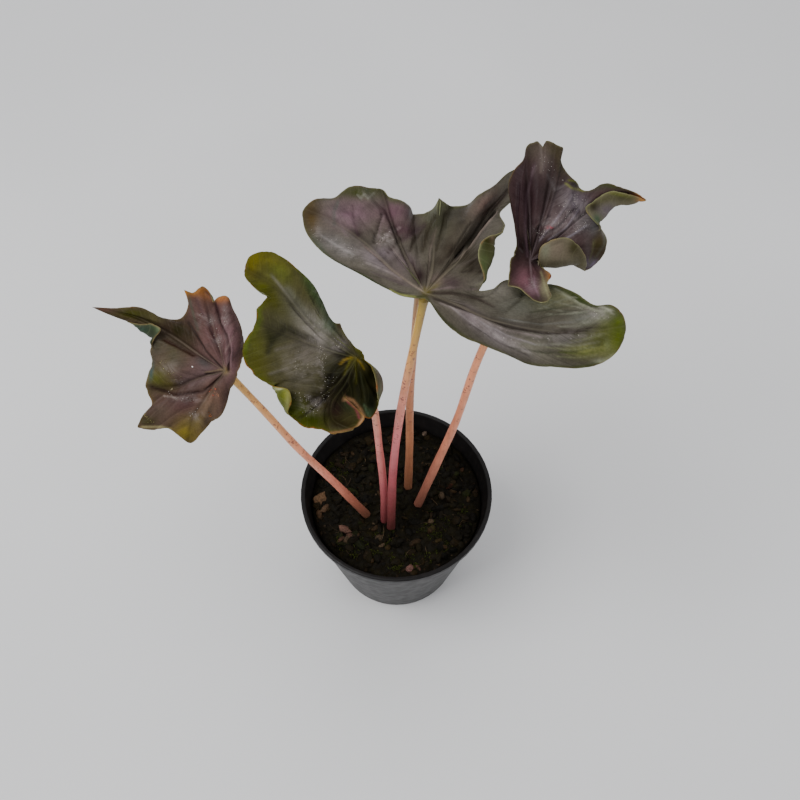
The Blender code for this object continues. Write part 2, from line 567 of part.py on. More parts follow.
def flat_rings(mesh, count, rings, capped=True):
    """A flat round of rings about the origin, as a table from (column, ring) to its vertex."""
    bmesh.ops.create_circle(mesh, segments=count, radius=1, cap_ends=capped, cap_tris=capped)
    rim = [edge for edge in mesh.edges if edge.is_boundary or edge.is_wire]
    for ring in range(1, rings - 1):
        out = bmesh.ops.extrude_edge_only(mesh, edges=rim)["geom"]
        fresh = [item for item in out if isinstance(item, bmesh.types.BMVert)]
        bmesh.ops.scale(mesh, vec=((ring + 1) / ring,) * 3, verts=fresh)
        inside = set(fresh)
        rim = [item for item in out if isinstance(item, bmesh.types.BMEdge) and inside.issuperset(item.verts)]
    for face in mesh.faces:
        face.normal_update()
        if face.normal.z < 0:
            face.normal_flip()
    places = {}
    for vert in mesh.verts:
        column = round(np.arctan2(vert.co.x, vert.co.y) / tau * count) % count
        places[column, round(vert.co.length)] = vert
    return places


def drape(places, columns):
    """Lays the flat rings on the given points."""
    for (column, ring), vert in places.items():
        vert.co = columns[column][ring]


def halve(mesh, places, kept):
    """Takes every other column out of the rings near the middle, but never a kept one."""
    count = len(kept)
    pairs = {}
    for ring in range(1, COARSE_RINGS):
        for column in range(1, count - count % 2, 2):
            out, into = (column - 1, column) if kept[column] else (column, column - 1)
            pairs[places[out, ring]] = places[into, ring]
    bmesh.ops.weld_verts(mesh, targetmap=pairs)


def finish(name, mesh, material, smooth_angle=radians(40)):
    """Turns a bmesh into a named object with its material."""
    data = bpy.data.meshes.new(name)
    mesh.to_mesh(data)
    mesh.free()
    data.shade_smooth()
    data.set_sharp_from_angle(angle=smooth_angle)
    data.materials.append(material)
    made = bpy.data.objects.new(name, data)
    bpy.context.collection.objects.link(made)
    return made


def stalk(name, plan, leaf_above, material):
    """A tapered round stalk from under the soil face to the blade, its top cut parallel to the blade."""
    path = plan.path()
    rings = []
    for index, point in enumerate(path):
        share = max(0, index - 1) / (len(path) - 2)
        radius = plan.foot_radius + (STALK_TOP_RADIUS - plan.foot_radius) * share**0.7
        before = path[max(index - 1, 0)]
        after = path[min(index + 1, len(path) - 1)]
        turn = (after - before).to_track_quat("Z", "Y")
        angles = [-tau * side / STALK_SIDES for side in range(STALK_SIDES)]
        rings.append([point + turn @ Vector((radius * cos(a), radius * sin(a), 0)) for a in angles])
    heading = (path[-1] - path[-2]).normalized()
    up = plan.leaf.up
    met = [leaf_above.ray_cast(point - heading * 0.004, heading) for point in rings[-1]]
    lowest = min([(spot - plan.leaf.centre).dot(up) for hit, spot, _, _ in met if hit] + [-BLADE_THICKNESS])
    seat = plan.leaf.centre + up * (lowest - FIT_GAP)
    rings[-1] = [point + heading * ((seat - point).dot(up) / heading.dot(up)) for point in rings[-1]]
    mesh = bmesh.new()
    places = flat_rings(mesh, STALK_SIDES, len(rings) + 1, capped=False)
    drape(places, [[None, *(ring[side] for ring in rings)] for side in range(STALK_SIDES)])
    close(mesh)
    return finish(name, mesh, material)


def close(mesh):
    """Closes the open ends of a body and turns its faces outward."""
    bmesh.ops.holes_fill(mesh, edges=mesh.edges, sides=0)
    bmesh.ops.recalc_face_normals(mesh, faces=mesh.faces)


def wall_radius(z):
    """The outer radius of the pot wall at height z."""
    return POT_BASE_RADIUS + (POT_TOP_RADIUS - LIP_OVERHANG - POT_BASE_RADIUS) * z / POT_HEIGHT


def pot(material):
    """The pot: a slanted wall with a small lip, and a flat floor with round drain holes."""
    lip_under = POT_HEIGHT - LIP_HEIGHT
    profile = (
        (0, 0),
        (POT_BASE_RADIUS - 0.0012, 0),
        (POT_BASE_RADIUS, 0.0012),
        (wall_radius(lip_under), lip_under),
        (POT_TOP_RADIUS, lip_under + 0.0004),
        (POT_TOP_RADIUS, POT_HEIGHT - 0.0004),
        (POT_TOP_RADIUS - 0.0004, POT_HEIGHT),
        (wall_radius(POT_HEIGHT) - POT_WALL + 0.0003, POT_HEIGHT),
        (wall_radius(POT_HEIGHT) - POT_WALL, POT_HEIGHT - 0.0003),
        (wall_radius(POT_FLOOR) - POT_WALL, POT_FLOOR),
        (0, POT_FLOOR),
    )
    mesh = bmesh.new()
    points = [mesh.verts.new((radius, 0, z)) for radius, z in profile]
    edges = [mesh.edges.new(pair) for pair in zip(points, points[1:])]
    bmesh.ops.spin(mesh, geom=[*points, *edges], axis=(0, 0, 1), cent=(0, 0, 0), angle=tau, steps=POT_SIDES)
    bmesh.ops.remove_doubles(mesh, verts=mesh.verts, dist=1e-6)
    bmesh.ops.recalc_face_normals(mesh, faces=mesh.faces)
    made = finish("pot", mesh, material, radians(30))
    holes = [
        rod(
            Vector((DRAIN_CIRCLE * cos(angle), DRAIN_CIRCLE * sin(angle), -0.002)),
            Vector((DRAIN_CIRCLE * cos(angle), DRAIN_CIRCLE * sin(angle), POT_FLOOR + 0.002)),
            DRAIN_RADIUS,
        )
        for angle in (tau * index / DRAIN_COUNT for index in range(DRAIN_COUNT))
    ]
    combine(made, holes, "DIFFERENCE")
    return made


def rod(start, end, radius, sides=16):
    """A plain round rod from start to end."""
    mesh = bmesh.new()
    axis = end - start
    place = Matrix.Translation((start + end) / 2) @ axis.to_track_quat("Z", "Y").to_matrix().to_4x4()
    bmesh.ops.create_cone(
        mesh, cap_ends=True, segments=sides, radius1=radius, radius2=radius, depth=axis.length, matrix=place
    )
    return mesh


def combine(target, meshes, operation):
    """Adds bodies to the target, or cuts them out of it."""
    group = bpy.data.collections.new("tools")
    bpy.context.scene.collection.children.link(group)
    for mesh in meshes:
        data = bpy.data.meshes.new("tool")
        mesh.to_mesh(data)
        mesh.free()
        group.objects.link(bpy.data.objects.new("tool", data))
    step = target.modifiers.new("combine", "BOOLEAN")
    step.operation = operation
    step.operand_type = "COLLECTION"
    step.collection = group
    step.solver = "EXACT"
    result = bpy.data.meshes.new_from_object(target.evaluated_get(bpy.context.evaluated_depsgraph_get()))
    target.modifiers.clear()
    target.data = result
    for tool in list(group.objects):
        bpy.data.objects.remove(tool)
    bpy.data.collections.remove(group)


def soil_height(x, y):
    """The height of the soil face, a low mound with an uneven surface."""
    reach = min(1.0, (x * x + y * y) ** 0.5 / wall_radius(SOIL_LEVEL))
    rough = noise.noise(Vector((x, y, 0)) * 90) + 0.6 * noise.noise(Vector((x, y, 0.02)) * 210)
    return SOIL_LEVEL + SOIL_MOUND * (0.6 - reach * reach) + SOIL_ROUGHNESS * rough


def soil(material):
    """The potting mix: one body that fills the pot, with bark lumps on its face and a hole at each stalk."""
    top_radius = wall_radius(SOIL_LEVEL) - POT_WALL - FIT_GAP
    foot = POT_FLOOR + FIT_GAP
    reaches = [top_radius * share for share in (0.0, 0.16, 0.34, 0.52, 0.7, 0.86, 0.98)]
    columns = []
    for side in range(POT_SIDES):
        angle = -tau * side / POT_SIDES
        face = [(reach * cos(angle), reach * sin(angle)) for reach in reaches]
        column = [Vector((x, y, soil_height(x, y))) for x, y in face]
        for radius, z in (
            (wall_radius(SOIL_LEVEL - 0.002) - POT_WALL - FIT_GAP, SOIL_LEVEL - 0.002),
            (wall_radius(foot) - POT_WALL - FIT_GAP, foot),
        ):
            column.append(Vector((radius * cos(angle), radius * sin(angle), z)))
        columns.append(column)
    mesh = bmesh.new()
    places = flat_rings(mesh, POT_SIDES, len(columns[0]))
    drape(places, columns)
    halve(mesh, places, [False] * POT_SIDES)
    close(mesh)
    made = finish("soil", mesh, material)
    combine(made, bark_chips(), "UNION")
    combine(made, stalk_holes(), "DIFFERENCE")
    return made


def bark_chips():
    """Lumps of bark half sunk in the soil face, none of them over a stalk."""
    random = np.random.default_rng(SOIL_SEED)
    chips = []
    taken = [(plan.path()[1].xy, plan.foot_radius + 0.001) for plan in STALKS.values()]
    while len(chips) < CHIP_COUNT:
        size = CHIP_SMALLEST + (CHIP_LARGEST - CHIP_SMALLEST) * random.random() ** 2
        reach = (wall_radius(SOIL_LEVEL) - POT_WALL - 2 * FIT_GAP - size) * random.random() ** 0.5
        angle = tau * random.random()
        place = Vector((reach * cos(angle), reach * sin(angle)))
        turn = random.random(3) * tau
        flat = random.uniform((0.7, 0.5, 0.35), (1.0, 0.8, 0.6))
        if any((place - other).length < size + other_size for other, other_size in taken):
            continue
        taken.append((place, size * 0.8))
        mesh = bmesh.new()
        bmesh.ops.create_icosphere(mesh, subdivisions=2 if size > 0.0038 else 1, radius=size)
        for vert in mesh.verts:
            vert.co *= 1 + 0.25 * noise.noise(vert.co * 300 + place.to_3d() * 1000)
        bmesh.ops.scale(mesh, vec=flat, verts=mesh.verts)
        spin = Matrix.Rotation(turn[0], 3, "Z") @ Matrix.Rotation(0.5 * sin(turn[1]), 3, "X")
        bmesh.ops.rotate(mesh, matrix=spin, verts=mesh.verts)
        bmesh.ops.translate(mesh, vec=(*place, soil_height(*place) + 0.1 * size), verts=mesh.verts)
        chips.append(mesh)
    return chips


def stalk_holes():
    """A plain round hole for the foot of each stalk."""
    holes = []
    for plan in STALKS.values():
        root, surface = plan.path()[:2]
        axis = (surface - root).normalized()
        holes.append(rod(root - axis * FIT_GAP, surface + axis * 0.009, plan.foot_radius + FIT_GAP))
    return holes


def plain_material(name, colour, roughness):
    material = bpy.data.materials.new(name)
    material.use_nodes = True
    shader = material.node_tree.nodes["Principled BSDF"]
    shader.inputs["Base Color"].default_value = (*colour, 1)
    shader.inputs["Roughness"].default_value = roughness
    material.diffuse_color = (*colour, 1)
    return material


BLADE_COLOURS = {
    "leaf_a": (0.080, 0.062, 0.040),
    "leaf_b": (0.045, 0.055, 0.030),
    "leaf_c": (0.085, 0.072, 0.050),
    "leaf_d": (0.085, 0.045, 0.052),
    "leaf_e": (0.060, 0.062, 0.036),
}
STALK_COLOURS = {
    "petiole_a": (0.43, 0.22, 0.15),
    "petiole_b": (0.45, 0.25, 0.20),
    "petiole_c": (0.42, 0.22, 0.14),
    "petiole_d": (0.38, 0.24, 0.14),
    "petiole_e": (0.30, 0.19, 0.12),
}


def main():
    for old in list(bpy.data.objects):
        bpy.data.objects.remove(old)
    pot(plain_material("pot_plastic", (0.030, 0.027, 0.028), 0.45))
    soil(plain_material("potting_mix", (0.028, 0.020, 0.014), 0.9))
    for (name, plan), (leaf_name, leaf) in zip(STALKS.items(), LEAVES.items()):
        above = blade(leaf_name, leaf, plain_material(f"{leaf_name}_skin", BLADE_COLOURS[leaf_name], 0.35))
        bpy.context.view_layer.update()
        stalk(name, plan, above, plain_material(f"{name}_skin", STALK_COLOURS[name], 0.4))


main()
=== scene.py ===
"""The looks of a small potted alocasia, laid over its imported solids.

Each blade is laid out afresh from the same ribs as its solid, in many more columns and rings, so that it
takes grooved veins, quilting, a rounded rim and its own colours. The stalks, the soil and the pot are
finished in the places of their solids. Metres, +Z up, from the middle of the pot's flat underside.
"""

import logging
from collections.abc import Iterable
from dataclasses import dataclass, field
from enum import Enum
from functools import cache
from math import cos, pi, radians, sin, tau

import bmesh
import bpy
import numpy as np
from mathutils import Matrix, Vector, noise


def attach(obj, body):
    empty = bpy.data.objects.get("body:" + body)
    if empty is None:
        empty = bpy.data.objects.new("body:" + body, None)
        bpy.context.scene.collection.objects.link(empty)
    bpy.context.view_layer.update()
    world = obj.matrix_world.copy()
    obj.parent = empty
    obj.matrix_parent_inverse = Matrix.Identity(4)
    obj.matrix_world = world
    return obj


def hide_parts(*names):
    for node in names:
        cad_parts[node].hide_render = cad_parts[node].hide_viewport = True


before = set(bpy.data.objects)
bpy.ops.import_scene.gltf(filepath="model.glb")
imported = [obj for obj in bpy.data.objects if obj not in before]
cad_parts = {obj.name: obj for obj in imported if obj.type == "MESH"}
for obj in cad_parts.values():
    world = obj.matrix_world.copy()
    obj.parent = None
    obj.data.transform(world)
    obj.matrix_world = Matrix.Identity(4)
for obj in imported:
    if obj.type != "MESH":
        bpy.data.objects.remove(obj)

Array = np.ndarray
BMesh = bmesh.types.BMesh
Material = bpy.types.Material
Node = bpy.types.Node
Piece = bpy.types.Object
Random = np.random.Generator
Socket = bpy.types.NodeSocket
Tree = bpy.types.NodeTree
Triple = tuple[float, float, float]
Colour = Triple
Groups = tuple[tuple[float, ...], ...]

log = logging.getLogger("alocasia")
MM = 0.001
MERGE = 1e-7

# The layout: a line of sight (u, v) leaves this point, and u and v are read on a square of 800 by 800.
VIEW_FROM = Vector((0.0019, -0.1894, 0.4563))
VIEW_DOWN = radians(56.9)
VIEW_FOCUS = 800.0
VIEW_MIDDLE = 400.0
AHEAD = Vector((0, cos(VIEW_DOWN), -sin(VIEW_DOWN)))
UPWARD = Vector((0, sin(VIEW_DOWN), cos(VIEW_DOWN)))
RIGHT = Vector((1, 0, 0))


def paint(screen: int) -> Colour:
    """The linear values that a shader takes, for a screen colour such as 0xD6CEC4."""
    parts = (screen >> 16, screen >> 8 & 255, screen & 255)
    return tuple(((part / 255 + 0.055) / 1.055) ** 2.4 if part > 10 else part / 3295 for part in parts)


def sight(u: float, v: float) -> Vector:
    """The direction of the line of sight (u, v)."""
    return AHEAD + RIGHT * (u - VIEW_MIDDLE) / VIEW_FOCUS + UPWARD * (VIEW_MIDDLE - v) / VIEW_FOCUS


def on_upright(u: float, v: float, y: float) -> Vector:
    """The point of a line of sight in the upright plane at y."""
    line = sight(u, v)
    return VIEW_FROM + line * ((y - VIEW_FROM.y) / line.y)


def on_level(u: float, v: float, z: float) -> Vector:
    """The point of a line of sight at height z."""
    line = sight(u, v)
    return VIEW_FROM + line * ((z - VIEW_FROM.z) / line.z)


def layout(points: Array) -> tuple[Array, Array]:
    """Where points lie in the layout.

    Args:
        points: An array whose last axis is x, y, z.

    Returns:
        The u and the v of each point.
    """
    way = points - np.array(VIEW_FROM)
    scale = VIEW_FOCUS / (way @ np.array(AHEAD))
    return VIEW_MIDDLE + way @ np.array(RIGHT) * scale, VIEW_MIDDLE - way @ np.array(UPWARD) * scale


def grouped(numbers: tuple[float, ...], size: int) -> Groups:
    """A row of numbers in groups of one size."""
    return tuple(numbers[start : start + size] for start in range(0, len(numbers), size))


@dataclass(frozen=True)
class Rib:
    """A line on a blade from the stalk to the margin. A vein is sunk, and a sharp rib ends in a point."""

    points: Groups
    vein: bool = False
    sharp: bool = False


def vein(*numbers: float) -> Rib:
    """A rib with a vein in it, from the u, v and lift of each of its points."""
    return Rib(grouped(numbers, 3), vein=True)


def corner(*numbers: float) -> Rib:
    """A rib that ends in a point or in a notch."""
    return Rib(grouped(numbers, 3), sharp=True)


def vein_tip(*numbers: float) -> Rib:
    """A rib with a vein in it that ends in a point."""
    return Rib(grouped(numbers, 3), vein=True, sharp=True)


def fan(*lines: Rib | tuple[float, ...]) -> tuple[Rib, ...]:
    """A blade's ribs. A bare row of numbers is a plain one."""
    return tuple(line if isinstance(line, Rib) else Rib(grouped(line, 3)) for line in lines)


@dataclass(frozen=True)
class Leaf:
    """A blade's layout: where its stalk meets it, how its plane leans, and its ribs, clockwise from above."""

    node: tuple[float, float]
    node_y: float
    lean: float
    bearing: float
    ribs: tuple[Rib, ...]

    @property
    def centre(self) -> Vector:
        """The point where the stalk meets the blade."""
        return on_upright(*self.node, self.node_y)

    @property
    def up(self) -> Vector:
        """The upward normal of the blade's plane."""
        lean, bearing = radians(self.lean), radians(self.bearing)
        return Vector((sin(lean) * cos(bearing), sin(lean) * sin(bearing), cos(lean)))

    def place(self, u: float, v: float, lift: float) -> Vector:
        """The point of a line of sight that lies some way over the blade's plane.

        Args:
            u: The line's place across the layout.
            v: The line's place down the layout.
            lift: Millimetres over the plane.

        Returns:
            The point.
        """
        line = sight(u, v)
        start = self.centre + self.up * lift * MM - VIEW_FROM
        return VIEW_FROM + line * (start.dot(self.up) / line.dot(self.up))


# The far left blade faces the eye. Its tip reaches left and its side lobes reach up and down.
LEAF_A = Leaf(node=(225, 371), node_y=-0.0095, lean=33, bearing=-100, ribs=fan(
    (233, 373, 0, 239, 370, -1), (231, 376, 0, 235.3, 380.5, -1.5), (227, 381, 0, 229.6, 393, -3),
    (225, 386, 0, 226.8, 403.7, -4.5), (221, 389, 0.3, 220.5, 416.3, -5), (217, 390, 0.5, 212, 422, -5),
    (213, 393, 0.5, 207, 412, -1, 203, 431.8, -5),
    vein(214, 386, -0.5, 203.7, 401.6, -0.5, 195, 416, -2, 189, 443, -7),
    (205, 391, 0.3, 192, 411, -1, 180, 436.7, -5), (202, 390, 0.5, 186, 407, 0, 168, 428.5, -2),
    (199, 388, 0.8, 178, 405, 0.8, 153, 430, -2), corner(197, 386, 0.8, 172, 402, 0.8, 137, 427.5, -2),
    (196, 384, 0.5, 170, 398, 0, 142, 416.3, -1), (194, 381, 0, 172, 391, -1.5, 151.8, 403, -1),
    vein(200, 378, -0.8, 175, 387, -2, 145.5, 387.5, 1), (196, 372, 0.5, 172, 376, 1, 148, 375, 1),
    (196, 368, 1, 172, 366, 1.5, 152, 360, 0), (197, 364, 1, 174, 357, 1, 150, 351, -1),
    (198, 361, 0.8, 174, 349.5, 0.5, 152, 342, -0.5, 155, 338, 1.2),
    (198, 359, 0.5, 177, 346, 0, 153, 336, 0, 161, 329, 3),
    (198, 357.8, 0.3, 175, 343, -0.5, 145, 331, -1, 155, 324.5, 3),
    (197.5, 356.3, 0, 171, 339, -1, 139, 327, -1, 140.5, 324, 0.8),
    (197, 354.8, -0.3, 168, 335.5, -1.2, 128, 321.5, 0),
    vein_tip(206, 359.5, -0.6, 194, 351, -0.8, 165, 331.5, -1.5, 135, 316.5, 0, 92, 307, 5),
    (197, 349.5, 0, 168, 328, -0.5, 113, 308, 2), (197, 347, 0.3, 170, 325, 0, 141, 307.4, 1),
    (199, 343, 0.5, 178, 324, 0, 163.7, 317.9, -1), (201, 340, 0.5, 188, 325, -0.5, 180, 318.5, -3),
    (205, 337, 0.5, 196, 318, 0, 188, 304, -1), corner(208, 334, 0, 198, 312, 0, 184.2, 290, 1),
    (210, 333, -0.5, 203, 310, -0.5, 192, 292.5, 0),
    vein(221, 352, -0.5, 215.5, 335, -1.5, 209.5, 312, -1.5, 203, 286.5, 0),
    (219.5, 335, -1.5, 213.5, 312, -1.5, 207.5, 290, 0), corner(222, 334, -1, 217, 314, -0.5, 212.5, 302, 0),
    (224, 333, 0.5, 221, 315, 1, 220.5, 296, 1), (228, 335, 1, 226, 316, 1.5, 227, 296, 1),
    (231, 338, 1.2, 232, 320, 1, 232.5, 307, -1), (233, 345, 1, 238, 335, -0.5, 241, 326, -3),
    (233, 352, 0.8, 240, 347, -1, 244, 343, -4), (232, 360, 0.5, 243, 357, -3),
))

# The cupped blade left of the pot: one long lobe up, the right side hanging, and a dried tip curled forward.
LEAF_B = Leaf(node=(357, 358), node_y=-0.0146, lean=20, bearing=-135, ribs=fan(
    (361, 358.7, 0, 365, 360.5, -0.3), (361.5, 361, 0, 366, 364, -0.8, 371.5, 367, -3.4, 370.8, 366.6, -1.2),
    (361, 362, 0, 367, 367.5, -1.7, 376.6, 371.8, -6, 373, 373, -1.2),
    (360.7, 362.5, 0, 367, 370.5, -2.3, 380.5, 378.5, -8.8, 375, 378.5, -3),
    (360.3, 363, 0, 367, 373, -2.8, 381.8, 387, -11, 375.8, 386, -4.6),
    (359.7, 363.5, 0, 366, 377, -3.5, 379.6, 396, -13.5, 377, 395.5, -9.5),
    (359.2, 364, 0, 364.5, 379, -3.5, 375, 400, -12.5, 377, 409, -16),
    (358.7, 364, 0, 362.5, 380, -3.5, 369.5, 403, -12, 370, 418.5, -17.5),
    (358.2, 364, 0, 360.5, 380, -3, 365, 400, -10, 366.5, 418, -16.5),
    (357.7, 364, 0, 358.5, 381, -3, 361, 396, -8.5, 361.5, 415.5, -14.5),
    (356.5, 383, -3, 357, 393, -6.2, 355.5, 410, -12),
    (354.7, 382.5, -2.5, 352.5, 391.5, -4.8, 349.8, 404, -9),
    corner(352.7, 380, -2.2, 348.5, 389, -3.5, 345.3, 397.5, -5.2),
    (349.5, 382.5, -2.2, 342, 394.5, -4.3, 340.5, 402, -6, 349.5, 402, -5.5),
    (347, 383.8, -2, 337.5, 399, -5.1, 335.5, 409, -8.3, 348, 411, -8, 359, 411.3, -6.9),
    (345.8, 384.2, -2, 335.3, 401, -5.3, 334, 412, -9, 349, 418, -10, 364.3, 417.5, -8.5),
    (344.8, 384.5, -2, 333.3, 402.5, -5.6, 333, 415.5, -9.8, 348, 422.5, -11, 361, 423.5, -10.5),
    vein_tip(343.8, 385, -2.3, 331.3, 403.8, -6, 332, 418.5, -10.5, 352.5, 430, -12),
    (342.8, 385.2, -1.8, 329.3, 404.8, -6, 330, 420, -10.5, 342, 432.5, -12),
    (341.8, 385, -1.7, 327.3, 405.5, -6.1, 326, 421, -10.2, 333, 434, -12),
    (340.8, 384.7, -1.5, 325, 405.8, -5.6, 321, 429.5, -11),
    (339.8, 383.8, -1.2, 321.5, 404.3, -4.9, 308, 429, -10),
    vein(338.5, 382, -1, 317, 400.5, -4, 294, 419.5, -8),
    (336, 379, -0.5, 312, 396, -2.5, 287, 411.5, -6, 288.5, 412.5, -4),
    (334, 376, -0.5, 308, 389, -1.5, 281, 402, -4.5, 291.8, 401, 0.5),
    (332, 373, 0, 305, 382, -0.5, 277.5, 392, -3.5, 289, 390, 0.8),
    (331, 371.5, 0, 302.5, 378.5, -0.5, 274, 387.5, -3.5, 277.5, 386.8, -0.8),
    (330, 370, 0, 300, 375, -0.5, 268, 384, -3), (328, 367, 0, 296, 370, 0, 258, 378, -2),
    (326, 364, 0, 292, 364, 0.5, 247, 367, -0.5), (324, 360, 0, 290, 356, 1, 243, 346, 3),
    (323, 356, 0, 290, 348, 1, 249, 334, 3), vein(338, 353, -0.5, 314, 345, 0, 286, 334, 0.5, 256, 321, 1),
    corner(321, 345.5, -0.3, 292, 330, -0.5, 256.5, 309, 0),
    corner(320, 341.5, 0, 295, 322, 0, 267, 297, -0.5), (321, 338.5, -0.3, 292, 311, 0, 252, 285, -1),
    vein(343, 349, -0.3, 325, 335, -0.8, 304, 317, -1, 283, 292, -1, 244, 268, -4),
    (325, 330.5, -0.3, 298, 300, -0.5, 248, 258, -3), (326, 330, 0, 303, 298, 0, 266, 251, -3),
    (328, 329.5, 0, 307, 297, 0.3, 284, 258, -2.5), (330.5, 330, 0.3, 310.5, 299, 0.5, 300, 271, -2),
    (334, 332, 0.3, 316.5, 309, 0, 313, 284, -2.5), (339.5, 336.5, 0.2, 324, 316.5, -0.5, 322, 300, -3),
    (345.5, 343, 0, 334.5, 328.5, -1, 330.7, 318, -3), (348, 345, 0, 339, 332.5, -1.2, 335.8, 323.2, -2.2),
    corner(349.5, 346.5, 0, 342, 335, -1.3, 340, 323.4, -1.5),
    (350.8, 347, 0, 344.5, 336.5, -1.2, 342.4, 329, -1.4),
    (353.3, 348.5, 0, 350, 342, -0.8, 346.3, 335.8, -1.2), (356.3, 352.5, 0, 355.5, 347, -0.4),
    (360, 355, 0, 363, 353, -0.2),
))

# The large blade over the pot. Its side lobes spread left and right, and its tip reaches back, under the
# next one.
LEAF_C = Leaf(node=(425, 293), node_y=-0.0165, lean=0, bearing=0, ribs=fan(
    corner(425, 296, 0, 425, 298.5, -0.5), (419, 295.5, 0, 415, 298.3, -1.2),
    (413, 294.5, -0.2, 404, 296.7, -1.3), (405, 292, 0, 387, 289, -2),
    (403, 286, 0, 380, 279, -1, 358, 273.3, -5), (401, 283, 0, 368, 268, -1, 330, 258, -7),
    (398, 279, 0, 362, 258, -2, 316, 246, -9), (398, 275, -0.3, 360, 248, -3, 303.5, 224, -11),
    vein(412, 284, -0.5, 393, 269, -1, 366, 243, -2.5, 335, 222, -5, 304, 208, -11),
    (396, 265, -1, 366, 232, -2, 315, 199, -9), (399, 262, -0.5, 370, 226, -3, 334, 197.6, -8),
    (400, 261, 0, 375.5, 221, -1, 347, 187.6, -3), (402, 260, 0, 381, 218, 0.5, 357, 185.4, -1),
    (404, 260, 0, 386, 219, 0, 369, 187.5, -3.5),
    vein(413, 272, -0.5, 403, 252, -1, 393, 228, -1.5, 381, 189, -1),
    (410, 262, 0, 398, 228, 0.5, 390, 197, 1.5), (414, 262, 0.3, 406, 228, 1, 403, 201, 1),
    (417, 262, 0, 411, 232, 0, 410.5, 207, -2), corner(420, 262, -0.5, 416, 236, -2.5, 413, 214, -6),
    (424, 260, -0.3, 424, 236, -2, 425, 212.5, -4), (428, 262, 0, 430, 236, 0, 434, 207, 1),
    vein_tip(432, 268, -0.5, 434, 244, 0, 439, 198, 6), (436, 266, 0, 440, 236, 0.5, 446, 203, 3),
    (440, 264, 0.5, 447, 236, 0, 456, 206, -3), (444, 262, 0.5, 455, 232, 1.2, 467, 204.5, -2),
    (446.5, 260.5, 0.7, 463, 226, 2, 478, 195, 1), (448.3, 259.8, 0.7, 470, 219, 2.4, 490, 188, 0),
    (450, 260, 0.4, 477.5, 216.5, 1.8, 513, 170, -5),
    vein_tip(441, 276.5, -0.5, 454.5, 264.5, -0.8, 475, 234, -2.5, 494, 206, -3.5, 540, 166, -14),
    (455.7, 266, -0.5, 480, 231, -1.5, 504, 201.5, -5, 530, 186, -10),
    (456.5, 267, 0, 484, 227, -0.8, 500, 207.5, -3, 510, 203, -6),
    (457.2, 268, 0.3, 484, 231, 0.8, 494, 219, 0.3, 500, 215, -1),
    (457.6, 269, 0.5, 482, 238, 1.6, 505, 225, 1), corner(458, 270.5, 0.6, 480, 244.5, 2, 503, 231.5, 3),
    (458, 272, 0.6, 478, 251.5, 1.8, 493, 243, 2.5, 485, 238.5, 5),
    (458, 274, 0.6, 478, 257, 1.5, 493, 250, 2.5, 478.5, 249, 6.5),
    (458, 277, 0.5, 477, 265, 1, 490, 262, 2, 478.5, 260, 6),
    (457, 280.5, 0.4, 474, 276, 0.3, 486, 273, 1, 481, 268, 4),
    (456.5, 284, 0.2, 472, 282, -0.5, 484.5, 280, -0.5, 483.5, 278, 1),
    (456, 287, 0, 470, 287, -1, 481.5, 286.5, -2), corner(452, 292, -0.5, 466, 291.5, -1.5, 479, 290.5, -3),
    (453, 295, -0.8, 472, 296.5, -3, 486, 295, -4.5, 494, 288.5, -5),
    (455, 297, -1, 478, 299.5, -4, 500, 294, -6.5, 508, 279.5, -8),
    (456, 298.5, -1, 484, 302, -4.5, 518, 297, -8.5, 526, 287.5, -10),
    (457, 300, -1, 492, 304, -5, 551, 284, -10), (458, 301, -1, 500, 309, -5.5, 577, 293.5, -10),
    (459, 302, -1.2, 508, 314, -6, 595, 305, -10), (460, 303, -1.2, 514, 318, -6.5, 612, 305, -10),
    (460, 304, -1.3, 520, 322, -7, 622, 313, -12),
    vein(452, 302, -1.2, 484, 315, -3, 532, 328, -7, 579, 332, -9.5, 626, 326, -14),
    (460, 307, -1, 520, 333, -6, 619, 349, -18), (460, 309, -0.8, 514, 337, -6, 603, 363, -20),
    (459, 310, -0.5, 506, 338, -6, 585, 367.8, -20), (457, 310.5, -0.5, 498, 338, -5.5, 557, 367.3, -17),
    (455, 311, -0.5, 488, 336, -5, 528, 364.5, -14.5), (452, 311, -0.5, 478, 332, -4.5, 509, 356, -12),
    (448, 310, -0.5, 466, 328, -4, 482, 345, -9), (443, 308, -0.5, 455, 322, -3.5, 461, 336, -7),
    (438, 305, -0.5, 447, 325, -5), (432, 300, -0.3, 437, 313, -2.5), (427, 296, 0, 429, 302, -1),
))

